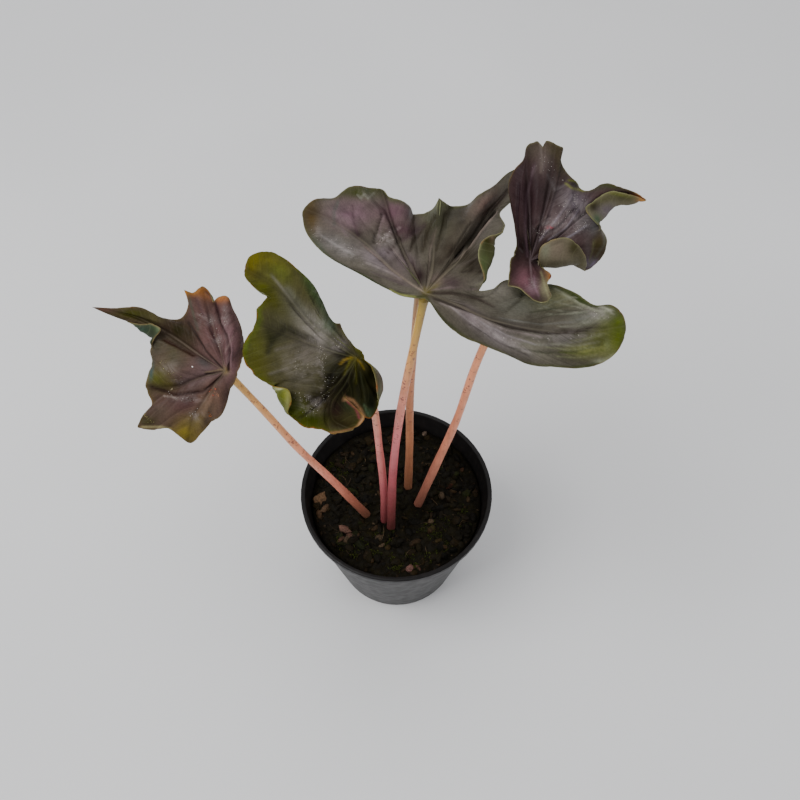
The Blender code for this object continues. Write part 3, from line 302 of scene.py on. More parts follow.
# The purple blade at the right. One side lobe stands up, the tip reaches right, and the lower margin rolls
# over.
LEAF_D = Leaf(node=(530, 261), node_y=0.002, lean=42, bearing=-90, ribs=fan(
    (523, 255, 0, 516.5, 247, -1), (523, 245, 0, 514.5, 228, -2), (524, 238, 0, 516, 218, 0, 510, 202, -3),
    (525, 236, 0.3, 517, 208, 0.5, 508.5, 182, -3), (526, 235, 0.5, 519, 203, 1, 514, 170, -2),
    (527, 234, 0.5, 523, 198, 1, 524, 157, -1),
    vein(530.2, 246, -0.4, 530, 228, -0.8, 528.5, 195, -0.8, 526, 148, 0),
    (532, 230, 0, 533, 195, 0.5, 532, 142.5, -1), (534, 229, 0.5, 538, 192, 1.5, 538, 141, -2),
    corner(536, 229, 0.6, 542, 190, 1.2, 542.5, 147, -1), (537, 229, 0.5, 545, 189, 1, 545.5, 141.5, 0),
    vein(536.5, 240, -0.3, 542, 220, -0.5, 550, 188, -0.3, 556, 144, -1),
    (541.5, 229, 0.3, 554, 190, 0.5, 563, 147, -2), (543.5, 230, 0.4, 556.5, 194, 0.5, 561, 160, -3),
    (545.5, 231, 0.5, 559, 200, 0.5, 565, 184, 0, 567.5, 173, -3),
    (547.5, 232, 0.5, 562.5, 204, 0.5, 571, 190, 1.2, 576, 181, -3),
    (550, 233, 0.5, 568, 208, 0.3, 584, 190.5, -1), (552, 234, 0.3, 573, 209.5, 0, 592, 189.5, -1),
    (553.5, 235, 0.2, 577, 210.5, -0.5, 603, 183, -1),
    (555, 236.2, 0, 580.5, 211, -0.5, 602, 192.5, 0, 619, 186, 0),
    (556, 237.2, 0, 583, 212, -0.5, 609, 193, 0, 632, 191.3, 1),
    vein_tip(545, 248.5, -0.4, 560, 236.3, -0.5, 586, 214.5, -0.8, 613, 197.5, 0, 646, 200, -3),
    (557, 240.5, 0, 584, 219, -0.5, 612, 204.5, 0, 634, 201, 0, 630, 194.5, 2),
    (557, 242, 0, 583, 222, -0.3, 605, 212, 0, 617, 202.5, 0.5, 612, 191, 4),
    (557, 243.5, 0.2, 581, 225, 0, 606, 214, 0.5, 593, 201, 4.5),
    (557.5, 245, 0.3, 580, 229, 0.3, 601, 219.5, 0.8, 585, 209, 4),
    (558, 246.5, 0.4, 580, 233, 0.5, 598.5, 224, 0, 590, 217, 3.4),
    (558.3, 247.3, 0.4, 581, 235.5, 0.5, 600, 227.5, 0, 597, 224.5, 1.4),
    (558.5, 248, 0.5, 582, 237.5, 0.5, 602, 230, -0.5), (559, 249.5, 0.5, 584, 243, 0.3, 607, 240, -2),
    vein(559, 251, 0.3, 584, 248.5, 0, 606, 249, -3), (559, 252.5, 0, 583, 253.5, -0.5, 600.5, 260, -4),
    (558, 254, -0.3, 581, 257.5, -1, 592, 267.5, -4), (557, 255.5, -0.6, 577, 260.5, -1, 587, 270.5, -3),
    (556, 257, -0.8, 573, 262, -0.5, 583, 266, 0.5, 585.5, 256, 4),
    (554, 258, -1, 568, 262.5, -0.5, 577, 262.5, 1.5, 578, 252, 5, 577, 244, 7),
    (551, 259, -1, 561, 263.5, 0, 567, 263.5, 2, 568, 250, 6, 567.5, 238, 8.5),
    (546, 260, -0.8, 553, 264.8, 0.5, 558, 265.5, 2.5, 557, 252, 6.5, 553, 239.5, 8.5),
    (541.5, 261, -0.4, 546, 265, 1, 550.5, 265.3, 2.8, 548, 255, 6.5, 541, 247, 8),
    (539.5, 261.8, -0.2, 543, 265, 1, 546, 265.3, 2.6, 542.5, 260, 5, 538.5, 256.5, 6.2),
    corner(537.5, 263, 0, 541, 267.5, 1.8), (536.7, 265.5, 0.6, 543, 272, 3.3, 549, 272, 4.5),
    (536, 267.8, 1.5, 543, 277, 5.6, 551, 276.5, 7.5), (535, 270, 3, 540, 281, 8, 547, 283, 10.5),
    (534, 273, 4, 541, 286, 10, 549, 289, 12.5), (534, 275, 4.8, 541, 290, 11.5, 551.3, 295, 15.5),
    (533, 276, 5, 540, 292, 12.5, 548.5, 300, 17.5),
    vein(531, 270, 3, 532, 281, 7, 537, 293, 12.5, 541.5, 302.5, 18.5),
    (529, 277, 5.5, 531, 290, 11.5, 534, 299.7, 17), (527, 276, 5.5, 526, 285, 9.5, 526, 293.3, 14.5),
    (525, 273, 4.5, 521, 281, 8, 519, 287.5, 12), corner(523, 270, 3.5, 516, 279, 7.5, 508.7, 285.4, 11),
    (521, 267, 2.5, 514, 272, 5.5, 509.5, 274, 8), (521, 263, 1.5, 515, 263, 3.5, 511.5, 258, 4),
    (522, 260, 0.5, 514.5, 252, 1.5),
))

# The small blade that the large one hides from the eye.
LEAF_E = Leaf(node=(419, 284), node_y=0.008, lean=14, bearing=100, ribs=fan(
    corner(419, 287, 0, 419, 291, -0.5), (413.5, 286.3, 0, 403, 286.5, -0.7), (407, 284, 0, 386, 280, -1.5),
    (404, 280.5, 0, 366, 267, -5), vein(401, 275, -0.6, 376, 256, -2.5, 345, 242, -8),
    (400, 270, 0, 372, 243, -2, 358, 228, -6), (402.5, 266, 0.3, 383, 238, 0, 372, 222, -0.5),
    (407, 262.5, 0.5, 396, 238, 0.3, 386, 216.5, -0.8), vein_tip(412, 264, -0.6, 405, 240, -1, 394, 203, -5),
    (416.5, 262, 0.5, 413, 238, 0.3, 406, 219, -0.5), (422, 263, 0.5, 424, 240, 0, 424, 222, -3),
    (427, 265, 0.3, 438, 244, 0, 446, 228, -1), (432, 268, 0, 450, 250, -2, 462, 238, -6),
    vein(434, 273, -0.6, 452, 262, -2.5, 471, 256, -8), (434, 278, 0, 464, 269, -6),
    (431, 282, 0, 452, 280, -4), (426, 285, 0, 436, 287, -2),
))


def along(points: Iterable[Vector], shares: Array) -> Array:
    """Points of a smooth curve.

    Args:
        points: The points that the curve goes through.
        shares: Where on the curve, as shares of its length.

    Returns:
        One point for each share.
    """
    points = np.array([tuple(point) for point in points])
    knots = np.concatenate([[0], np.cumsum(np.linalg.norm(np.diff(points, axis=0), axis=1))])
    knots /= knots[-1]
    return hermite(points, knots, slopes(points, knots), shares)


def slopes(points: Array, knots: Array) -> Array:
    """The slope of a curve at its points, weighted towards the nearer neighbour.

    Args:
        points: The curve's points.
        knots: How far along the curve each point is.

    Returns:
        One slope for each point.
    """
    steps = np.diff(knots)[:, None]
    runs = np.diff(points, axis=0) / steps
    inner = (runs[:-1] * steps[1:] + runs[1:] * steps[:-1]) / (steps[1:] + steps[:-1])
    return np.concatenate([runs[:1], inner, runs[-1:]])


def hermite(points: Array, knots: Array, tangents: Array, shares: Array) -> Array:
    """Points of the cubic curve that has given slopes.

    Args:
        points: The points that the curve goes through.
        knots: How far along the curve each point is.
        tangents: The slope at each point.
        shares: Where on the curve, measured as the knots are.

    Returns:
        One point for each share.
    """
    shares = np.asarray(shares, float)
    span = np.clip(np.searchsorted(knots, shares, side="right") - 1, 0, len(knots) - 2)
    step = (knots[span + 1] - knots[span])[:, None]
    t = ((shares - knots[span])[:, None]) / step
    return (
        points[span] * (1 + 2 * t) * (1 - t) ** 2
        + tangents[span] * step * t * (1 - t) ** 2
        + points[span + 1] * t**2 * (3 - 2 * t)
        + tangents[span + 1] * step * t**2 * (t - 1)
    )


def unit(vectors: Array) -> Array:
    """Vectors brought to length one."""
    return vectors / (np.linalg.norm(vectors, axis=-1, keepdims=True) + 1e-12)


def ripple(points: Array, scale: float, seed: float = 0.0) -> Array:
    """Smooth noise between about -1 and 1 at each point.

    Args:
        points: An array whose last axis is x, y, z.
        scale: Waves in a metre.
        seed: Shifts the noise.

    Returns:
        One value for each point.
    """
    values = [noise.noise(Vector(point)) for point in points.reshape(-1, 3) * scale + seed]
    return np.array(values).reshape(points.shape[:-1])


class Side(Enum):
    """Which face of a blade a patch of colour lies on."""

    TOP = "top"
    UNDER = "under"
    RIM = "rim"


@dataclass(frozen=True)
class Oval:
    """A soft oval on a blade, placed and turned in the layout of the ribs."""

    u: float
    v: float
    wide: float
    tall: float
    strength: float
    turn: float = 0.0

    def weight(self, u: Array, v: Array) -> Array:
        """How far inside the oval points are.

        Args:
            u: Each point's place across the layout.
            v: Each point's place down the layout.

        Returns:
            The strength in the oval's middle, and next to nothing well outside it.
        """
        turn = radians(self.turn)
        across = (u - self.u) * cos(turn) + (v - self.v) * sin(turn)
        down = (v - self.v) * cos(turn) - (u - self.u) * sin(turn)
        return np.exp(-((across / self.wide) ** 2) - (down / self.tall) ** 2) * self.strength


@dataclass(frozen=True)
class Patch(Oval):
    """An oval of colour. One with a hem keeps to that many millimetres from the margin."""

    hem: float = 0.0
    screen: int = 0
    side: Side = Side.TOP


@dataclass(frozen=True)
class Stroke:
    """A soft line of colour on a blade's upper face: a fold, a scar or a streak, sunk by some millimetres.

    A dark stroke sunk along a fold is painted shade, and a pale one raised beside it a painted highlight.
    """

    points: Groups
    width: float
    screen: int
    strength: float
    sunk: float

    def weight(self, u: Array, v: Array) -> Array:
        """How near the line points are.

        Args:
            u: Each point's place across the layout.
            v: Each point's place down the layout.

        Returns:
            One on the line, and next to nothing well beside it.
        """
        nearest = np.full(u.shape, np.inf)
        for (u0, v0), (u1, v1) in zip(self.points, self.points[1:]):
            long = (u1 - u0) ** 2 + (v1 - v0) ** 2
            share = np.clip(((u - u0) * (u1 - u0) + (v - v0) * (v1 - v0)) / long, 0, 1)
            gap = (u - u0 - share * (u1 - u0)) ** 2 + (v - v0 - share * (v1 - v0)) ** 2
            nearest = np.minimum(nearest, gap)
        return np.exp(-nearest / self.width**2)


@dataclass(frozen=True)
class Trail:
    """Grains of grit that lie along a line on a blade, or in one spot of it. The size is in millimetres."""

    points: Groups
    count: int
    spread: float
    size: float
    screen: int


def patches(side: Side, *rows: tuple[float, ...]) -> tuple[Patch, ...]:
    """Patches from rows of u, v, width, height, colour, per cent and, for some, a turn and a hem."""
    return tuple(Patch(*row[:4], row[5] / 100, *row[6:], screen=row[4], side=side) for row in rows)


def strokes(*rows: tuple[float, ...]) -> tuple[Stroke, ...]:
    """Strokes from rows of width, colour, per cent, millimetres sunk, and then each point's u and v."""
    return tuple(Stroke(grouped(row[4:], 2), *row[:2], row[2] / 100, row[3]) for row in rows)


def trails(*rows: tuple[float, ...]) -> tuple[Trail, ...]:
    """Trails from rows of count, spread, size, colour, and then each point's u and v."""
    return tuple(Trail(grouped(row[4:], 2), *row[:4]) for row in rows)


class Wiring:
    """Adds shader nodes to a tree and joins them."""

    def __init__(self, tree: Tree) -> None:
        """Starts on an existing node tree."""
        self.tree = tree
        self.count = 0

    def add(self, kind: str, **settings: object) -> Node:
        """Adds a node, in the next free place of the editor.

        Args:
            kind: The node's type.
            settings: Values for the node's own properties.

        Returns:
            The node.
        """
        node = self.tree.nodes.new(kind)
        node.location = (-1400 + 180 * (self.count % 8), 300 - 220 * (self.count // 8))
        self.count += 1
        for name, value in settings.items():
            setattr(node, name, value)
        return node

    def feed(self, socket: Socket, value: object) -> None:
        """Links another socket to a socket, or sets its plain value.

        Args:
            socket: The socket that takes it.
            value: A socket, a number, a colour or a vector.
        """
        if isinstance(value, Socket):
            self.tree.links.new(value, socket)
        elif isinstance(value, tuple) and socket.type == "RGBA":
            socket.default_value = (*value, 1)
        else:
            socket.default_value = value

    def join(self, kind: str, inputs: dict, **settings: object) -> bpy.types.bpy_prop_collection:
        """Adds a node and feeds it.

        Args:
            kind: The node's type.
            inputs: A value or a socket for inputs, by name or by place.
            settings: Values for the node's own properties.

        Returns:
            The node's outputs.
        """
        node = self.add(kind, **settings)
        for name, value in inputs.items():
            self.feed(node.inputs[name], value)
        return node.outputs

    def effect(self, tree: Tree, **given: object) -> bpy.types.bpy_prop_collection:
        """Adds a shared effect with the given inputs, and gives its outputs."""
        return self.join("ShaderNodeGroup", given, node_tree=tree)

    def attribute(self, name: str, output: str = "Fac") -> Socket:
        """The value of a piece's own attribute, or its Color."""
        return self.add("ShaderNodeAttribute", attribute_name=name).outputs[output]

    def noise(self, scale: float, detail: float, stretch: Triple | None = None) -> Socket:
        """Noise on object coordinates.

        Args:
            scale: Waves in a metre.
            detail: Octaves of noise.
            stretch: A further scale along each axis, or None.

        Returns:
            The noise's value, from 0 to 1.
        """
        spot = self.add("ShaderNodeTexCoord").outputs["Object"]
        if stretch:
            spot = self.join("ShaderNodeMapping", {"Vector": spot, "Scale": stretch})["Vector"]
        return self.join("ShaderNodeTexNoise", {"Vector": spot, "Scale": scale, "Detail": detail})["Fac"]

    def streaks(self, first: Socket, second: Socket) -> Socket:
        """Noise on two values, from 0 to 1."""
        spot = self.join("ShaderNodeCombineXYZ", {0: first, 1: second})["Vector"]
        return self.join("ShaderNodeTexNoise", {"Vector": spot, "Scale": 1.0, "Detail": 4.0})["Fac"]

    def cells(self, scale: object) -> Socket:
        """The distance to the nearest of many scattered points, on object coordinates."""
        spot = self.add("ShaderNodeTexCoord").outputs["Object"]
        return self.join("ShaderNodeTexVoronoi", {"Vector": spot, "Scale": scale})["Distance"]

    def ramp(self, value: object, low: float, high: float, start: float = 0.0, end: float = 1.0) -> Socket:
        """Eases a value from start to end as it goes from low to high."""
        span = {"Value": value, "From Min": low, "From Max": high, "To Min": start, "To Max": end}
        return self.join("ShaderNodeMapRange", span, interpolation_type="SMOOTHSTEP")["Result"]

    def sum(self, operation: str, *values: object) -> Socket:
        """A plain sum on two values."""
        return self.join("ShaderNodeMath", dict(enumerate(values)), operation=operation)[0]

    def times(self, first: object, *others: object) -> Socket:
        """The product of values.

        Args:
            first: The first value.
            others: The values that it is multiplied by, in order.

        Returns:
            The product.
        """
        for other in others:
            first = self.sum("MULTIPLY", first, other)
        return first

    def mix(self, factor: object, first: object, second: object, blend: str = "MIX") -> Socket:
        """Mixes two colours."""
        parts = {0: factor, 6: first, 7: second}
        return self.join("ShaderNodeMix", parts, data_type="RGBA", blend_type=blend)[2]


def shader_group(name: str, inputs: dict, outputs: dict) -> tuple[Tree, Wiring, dict, dict]:
    """Starts a shader node group.

    Args:
        name: The group's name.
        inputs: Each input's name and its plain value.
        outputs: Each output's name and its kind, Color or Float.

    Returns:
        The group, its wiring, its input sockets and its output sockets, by name.
    """
    tree = bpy.data.node_groups.new(name, "ShaderNodeTree")
    for label, value in inputs.items():
        kind = "NodeSocketColor" if isinstance(value, tuple) else "NodeSocketFloat"
        made = tree.interface.new_socket(name=label, in_out="INPUT", socket_type=kind)
        made.default_value = (*value, 1) if isinstance(value, tuple) else value
    for label, kind in outputs.items():
        tree.interface.new_socket(name=label, in_out="OUTPUT", socket_type=f"NodeSocket{kind}")
    wire = Wiring(tree)
    entry, leave = wire.add("NodeGroupInput").outputs, wire.add("NodeGroupOutput").inputs
    return tree, wire, {label: entry[label] for label in inputs}, {label: leave[label] for label in outputs}


@cache
def mottle_effect() -> Tree:
    """Uneven colour: broad clouds and a fine grain, with a height for the grain.

    Returns:
        The group.
    """
    tree, wire, given, out = shader_group(
        "mottle",
        {"colour": (0.5, 0.5, 0.5), "cloud": (0.3, 0.3, 0.3), "clouds": 0.5, "grain": 0.3},
        {"colour": "Color", "height": "Float"},
    )
    clouds = wire.times(wire.ramp(wire.noise(150, 4), 0.42, 0.68), given["clouds"])
    colour = wire.mix(clouds, given["colour"], given["cloud"])
    grain = wire.noise(1500, 3)
    dark = wire.times(wire.ramp(grain, 0.40, 0.62), given["grain"])
    wire.feed(out["colour"], wire.mix(dark, colour, (0.0, 0.0, 0.0)))
    wire.feed(out["height"], grain)
    return tree


@cache
def vein_effect() -> Tree:
    """Masks for a blade's veins, from the millimetres that its mesh carries.

    Returns:
        The group.
    """
    tree, wire, given, out = shader_group(
        "veins",
        {"vein_mm": 5.0, "flow_mm": 0.0, "spacing": 5.0},
        {label: "Float" for label in ("line", "fold", "side", "streak")},
    )
    far, flow = given["vein_mm"], given["flow_mm"]
    wire.feed(out["line"], wire.ramp(far, 0.1, 0.55, 1.0, 0.0))
    # The fold mask: the band beside a vein that takes painted shade.
    wire.feed(out["fold"], wire.ramp(far, 0.4, 2.4, 1.0, 0.0))
    away = wire.sum("PINGPONG", flow, wire.times(given["spacing"], 0.5))
    wire.feed(out["side"], wire.ramp(away, 0.03, 0.45, 1.0, 0.0))
    fibres = wire.streaks(wire.times(flow, 1.5), wire.times(far, 0.16))
    wire.feed(out["streak"], wire.ramp(fibres, 0.42, 0.72))
    return tree


@cache
def speckle_effect() -> Tree:
    """Small round dots, more of them where a cloud is thick.

    Returns:
        The group.
    """
    tree, wire, given, out = shader_group(
        "speckle",
        {"colour": (0.5, 0.5, 0.5), "dots": (0.8, 0.8, 0.8), "amount": 0.5, "size": 0.3, "scale": 1100.0},
        {"colour": "Color"},
    )
    dot = wire.sum("LESS_THAN", wire.cells(given["scale"]), given["size"])
    cloud = wire.ramp(wire.noise(420, 2), 0.5, 0.62)
    mask = wire.times(dot, cloud, given["amount"])
    wire.feed(out["colour"], wire.mix(mask, given["colour"], given["dots"]))
    return tree


class Coat(Wiring):
    """The wiring of a new material, which ends in its Principled shader."""

    def __init__(self, name: str) -> None:
        """Makes the material.

        Args:
            name: The material's name.
        """
        self.material = bpy.data.materials.new(name)
        self.material.use_nodes = True
        super().__init__(self.material.node_tree)
        self.shader = self.tree.nodes["Principled BSDF"]

    def give(self, name: str, value: object) -> None:
        """Feeds one of the shader's inputs."""
        self.feed(self.shader.inputs[name], value)

    def bump(self, height: Socket, depth: float, strength: float) -> None:
        """Feeds a height to the shader's normal.

        Args:
            height: The socket that gives the height, from 0 to 1.
            depth: Metres between the heights 0 and 1.
            strength: How strongly the bump shows.
        """
        parts = {"Strength": strength, "Distance": depth, "Height": height}
        self.give("Normal", self.join("ShaderNodeBump", parts)["Normal"])


@dataclass(frozen=True)
class BladeSkin:
    """The waxy upper face of a blade, with pale vein lines, fine side veins and painted shade in its folds.

    Its silvery cast is partly the wax's own and partly a painted sheen.
    """

    name: str
    vein_colour: Colour = paint(0x706A54)
    cloud_colour: Colour = paint(0x18120C)
    fold_shade_and_streak_colour: Colour = paint(0x160E0A)
    bloom_and_sheen_colour: Colour = paint(0x968C8A)
    dot_colour: Colour = paint(0xC4BEB2)
    roughness: float = 0.28
    shine: float = 0.06
    clouds: float = 0.30
    grain: float = 0.14
    vein_share: float = 0.35
    side_share: float = 0.08
    fold_shade_share: float = 0.28
    streak_share: float = 0.11
    bloom_and_sheen_share: float = 0.42
    specks: float = 0.6
    speck_size: float = 0.2
    spacing: float = 4.2

    def build(self) -> Material:
        """Makes the material.

        Returns:
            The material.
        """
        wire = Coat(self.name)
        tint = wire.attribute("tint", "Color")
        mottle = wire.effect(
            mottle_effect(), colour=tint, cloud=self.cloud_colour, clouds=self.clouds, grain=self.grain
        )
        vein_mm, flow_mm = wire.attribute("vein_mm"), wire.attribute("flow_mm")
        veins = wire.effect(vein_effect(), vein_mm=vein_mm, flow_mm=flow_mm, spacing=self.spacing)
        reach, bloom_and_sheen, clear = (wire.attribute(name) for name in ("reach", "bloom_and_sheen", "clear"))
        streak = wire.times(veins["streak"], clear)
        colour = wire.mix(wire.times(streak, self.streak_share), mottle["colour"], self.fold_shade_and_streak_colour)
        # Painted shade in the folds beside the veins, fading in away from the node.
        fold = wire.times(veins["fold"], wire.ramp(reach, 0.05, 0.3, 0.0, self.fold_shade_share))
        colour = wire.mix(fold, colour, self.fold_shade_and_streak_colour)
        side = wire.times(veins["side"], clear, self.side_share)
        colour = wire.mix(side, colour, self.vein_colour)
        line = wire.times(veins["line"], wire.ramp(reach, 0.15, 0.75, self.vein_share, 0.05))
        colour = wire.mix(line, colour, self.vein_colour)
        # Painted sheen: pale wisps where the face looks silvery, partly the wax's own cast and partly a
        # painted highlight.
        wisp = wire.ramp(veins["streak"], 0.1, 0.5, 1.0, 0.45)
        thin = wire.times(wisp, wire.ramp(wire.noise(330, 4), 0.35, 0.6), bloom_and_sheen)
        colour = wire.mix(wire.times(thin, self.bloom_and_sheen_share), colour, self.bloom_and_sheen_colour)
        dusted = wire.effect(
            speckle_effect(),
            colour=colour, dots=self.dot_colour, amount=wire.times(bloom_and_sheen, self.specks), size=self.speck_size,
        )
        wire.give("Base Color", dusted["colour"])
        rough = wire.sum("ADD", wire.times(wire.noise(260, 3), 0.24), self.roughness)
        wire.give("Roughness", wire.sum("ADD", rough, wire.times(streak, 0.10)))
        wire.give("Specular IOR Level", self.shine)
        height = wire.sum("SUBTRACT", wire.times(mottle["height"], 0.5), wire.times(streak, 0.4))
        wire.bump(wire.sum("SUBTRACT", height, wire.times(side, 5.0)), 0.12 * MM, 0.6)
        return wire.material


@dataclass(frozen=True)
class UnderSkin:
    """The paler, duller under face of a blade, and its rim."""

    name: str
    vein_colour: Colour = paint(0x96966E)
    cloud_colour: Colour = paint(0x3C342C)
    vein_share: float = 0.3
    side_share: float = 0.07
    shine: float = 0.12

    def build(self) -> Material:
        """Makes the material.

        Returns:
            The material.
        """
        wire = Coat(self.name)
        tint = wire.attribute("tint", "Color")
        mottle = wire.effect(mottle_effect(), colour=tint, cloud=self.cloud_colour, clouds=0.25, grain=0.12)
        vein_mm, flow_mm = wire.attribute("vein_mm"), wire.attribute("flow_mm")
        veins = wire.effect(vein_effect(), vein_mm=vein_mm, flow_mm=flow_mm, spacing=5.0)
        side = wire.times(veins["side"], wire.attribute("clear"), self.side_share)
        line = wire.sum("MAXIMUM", wire.times(veins["line"], self.vein_share), side)
        wire.give("Base Color", wire.mix(line, mottle["colour"], self.vein_colour))
        wire.give("Roughness", wire.ramp(wire.noise(300, 3), 0.3, 0.7, 0.42, 0.58))
        wire.give("Specular IOR Level", self.shine)
        wire.bump(mottle["height"], 0.15 * MM, 0.5)
        return wire.material


@dataclass(frozen=True)
class StalkSkin:
    """The smooth, lengthwise streaked skin of a leaf stalk, with reddish dots."""

    name: str
    streak_colour: Colour = paint(0x844E44)
    streak_share: float = 0.2
    dot_colour: Colour = paint(0x78302A)
    dots: float = 0.9
    dot_size: float = 0.42
    dot_scale: float = 720.0
    gloss: float = 0.1

    def build(self) -> Material:
        """Makes the material.

        Returns:
            The material.
        """
        wire = Coat(self.name)
        streak = wire.ramp(wire.noise(900, 3, (1.0, 1.0, 0.06)), 0.35, 0.7)
        tint = wire.attribute("tint", "Color")
        dotted = wire.effect(
            speckle_effect(),
            colour=wire.mix(wire.times(streak, self.streak_share), tint, self.streak_colour),
            dots=self.dot_colour,
            amount=wire.times(wire.attribute("dotted"), self.dots),
            size=self.dot_size,
            scale=self.dot_scale,
        )
        wire.give("Base Color", dotted["colour"])
        wire.give("Roughness", wire.ramp(wire.noise(500, 2), 0.3, 0.7, 0.36, 0.52))
        wire.give("Coat Weight", self.gloss)
        wire.bump(streak, 0.10 * MM, 0.5)
        return wire.material


@dataclass(frozen=True)
class PotPlastic:
    """Thin black moulded plastic, faintly dusty and scuffed."""

    name: str = "pot_plastic_fine"
    plastic: Colour = (0.0050, 0.0042, 0.0040)
    dust: Colour = (0.020, 0.016, 0.014)
    scuff: Colour = (0.034, 0.030, 0.028)
    dust_share: float = 0.3
    scuff_share: float = 0.2
    shine: float = 0.2

    def build(self) -> Material:
        """Makes the material.

        Returns:
            The material.
        """
        wire = Coat(self.name)
        dusty = wire.times(wire.ramp(wire.noise(240, 5), 0.45, 0.75), self.dust_share)
        worn = wire.ramp(wire.noise(700, 4, (1.0, 1.0, 0.15)), 0.55, 0.8)
        colour = wire.mix(dusty, self.plastic, self.dust)
        wire.give("Base Color", wire.mix(wire.times(worn, self.scuff_share), colour, self.scuff))
        wire.give("Roughness", wire.ramp(wire.noise(200, 5), 0.3, 0.75, 0.40, 0.50))
        wire.give("Specular IOR Level", self.shine)
        wire.bump(wire.noise(1400, 3), 0.04 * MM, 0.5)
        return wire.material


@dataclass(frozen=True)
class PottingMix:
    """Moist dark bark and moss. Each lump carries its own colour."""

    name: str
    roughness: float = 0.85
    damp: Colour = (0.006, 0.004, 0.003)
    shine: float = 0.12

    def build(self) -> Material:
        """Makes the material.

        Returns:
            The material.
        """
        wire = Coat(self.name)
        tint = wire.attribute("tint", "Color")
        mottle = wire.effect(mottle_effect(), colour=tint, cloud=self.damp, clouds=0.5, grain=0.5)
        wire.give("Base Color", mottle["colour"])
        rough = wire.ramp(wire.noise(500, 3), 0.3, 0.7, self.roughness - 0.2, self.roughness + 0.1)
        wire.give("Roughness", rough)
        wire.give("Specular IOR Level", self.shine)
        wire.bump(wire.noise(2200, 5), 0.4 * MM, 0.8)
        return wire.material


def finish_mesh(name: str, mesh: BMesh, materials: list[Material], angle: float = 60) -> Piece:
    """Turns a bmesh into a smooth named object.

    Args:
        name: The object's name.
        mesh: The bmesh, which is freed.
        materials: The object's materials, in the order of their slots.
        angle: Edges sharper than this many degrees stay sharp.

    Returns:
        The new object, at the origin.
    """
    data = bpy.data.meshes.new(name)
    mesh.to_mesh(data)
    mesh.free()
    data.shade_smooth()
    data.set_sharp_from_angle(angle=radians(angle))
    for material in materials:
        data.materials.append(material)
    made = bpy.data.objects.new(name, data)
    bpy.context.scene.collection.objects.link(made)
    return made


def place_piece(piece: Piece, slot: str, *nodes: str) -> None:
    """Lets a piece ride on the plant's only body and stand for the given solids.

    Args:
        piece: The piece.
        slot: Not used.
        nodes: The solids that it replaces.
    """
    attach(piece, "root")
    if nodes:
        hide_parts(*nodes)
    log.info("%s: %d faces", piece.name, len(piece.data.polygons))


def tinted_mesh() -> tuple[BMesh, object]:
    """An empty bmesh and its layer of colours."""
    mesh = bmesh.new()
    return mesh, mesh.verts.layers.float_color.new("tint")


def merged_copy(node: str) -> BMesh:
    """A copy of a solid's loose triangles, joined where they touch.

    Args:
        node: The solid's name.

    Returns:
        The copy.
    """
    mesh = bmesh.new()
    mesh.from_mesh(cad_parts[node].data)
    bmesh.ops.remove_doubles(mesh, verts=mesh.verts, dist=1e-6)
    return mesh


def close_mesh(mesh: BMesh, merge: float = MERGE) -> None:
    """Joins a mesh's seams, fills its open ends and turns its faces outwards.

    Args:
        mesh: The mesh.
        merge: Vertices nearer than this are joined.
    """
    bmesh.ops.remove_doubles(mesh, verts=mesh.verts, dist=merge)
    bmesh.ops.holes_fill(mesh, edges=mesh.edges, sides=0)
    bmesh.ops.recalc_face_normals(mesh, faces=mesh.faces)


def closed_tube(mesh: BMesh, rings: Array) -> dict:
    """Adds a sheet of rings, each ring joined to itself, from a flat grid.

    Args:
        mesh: The bmesh that takes it.
        rings: An array of columns x rings x 3.

    Returns:
        The grid's vertices by (column, ring), before its seam is merged.
    """
    count, tall = rings.shape[:2]
    places = {}
    for vert in bmesh.ops.create_grid(mesh, x_segments=count, y_segments=tall - 1, size=1)["verts"]:
        column = round((vert.co.x + 1) / 2 * count)
        ring = round((vert.co.y + 1) / 2 * (tall - 1))
        places[column, ring] = vert
    for (column, ring), vert in places.items():
        vert.co = rings[column % count, ring]
    return places


def round_ring(centre: Vector, way: Vector, radius: float, sides: int) -> list[tuple[float, ...]]:
    """The corners of a ring, clockwise.

    Args:
        centre: Its middle.
        way: The direction that it faces.
        radius: Its radius.
        sides: How many corners it has.

    Returns:
        The corners.
    """
    turn = way.to_track_quat("Z", "Y")
    angles = [-tau * side / sides for side in range(sides)]
    return [tuple(centre + turn @ Vector((radius * cos(angle), radius * sin(angle), 0))) for angle in angles]


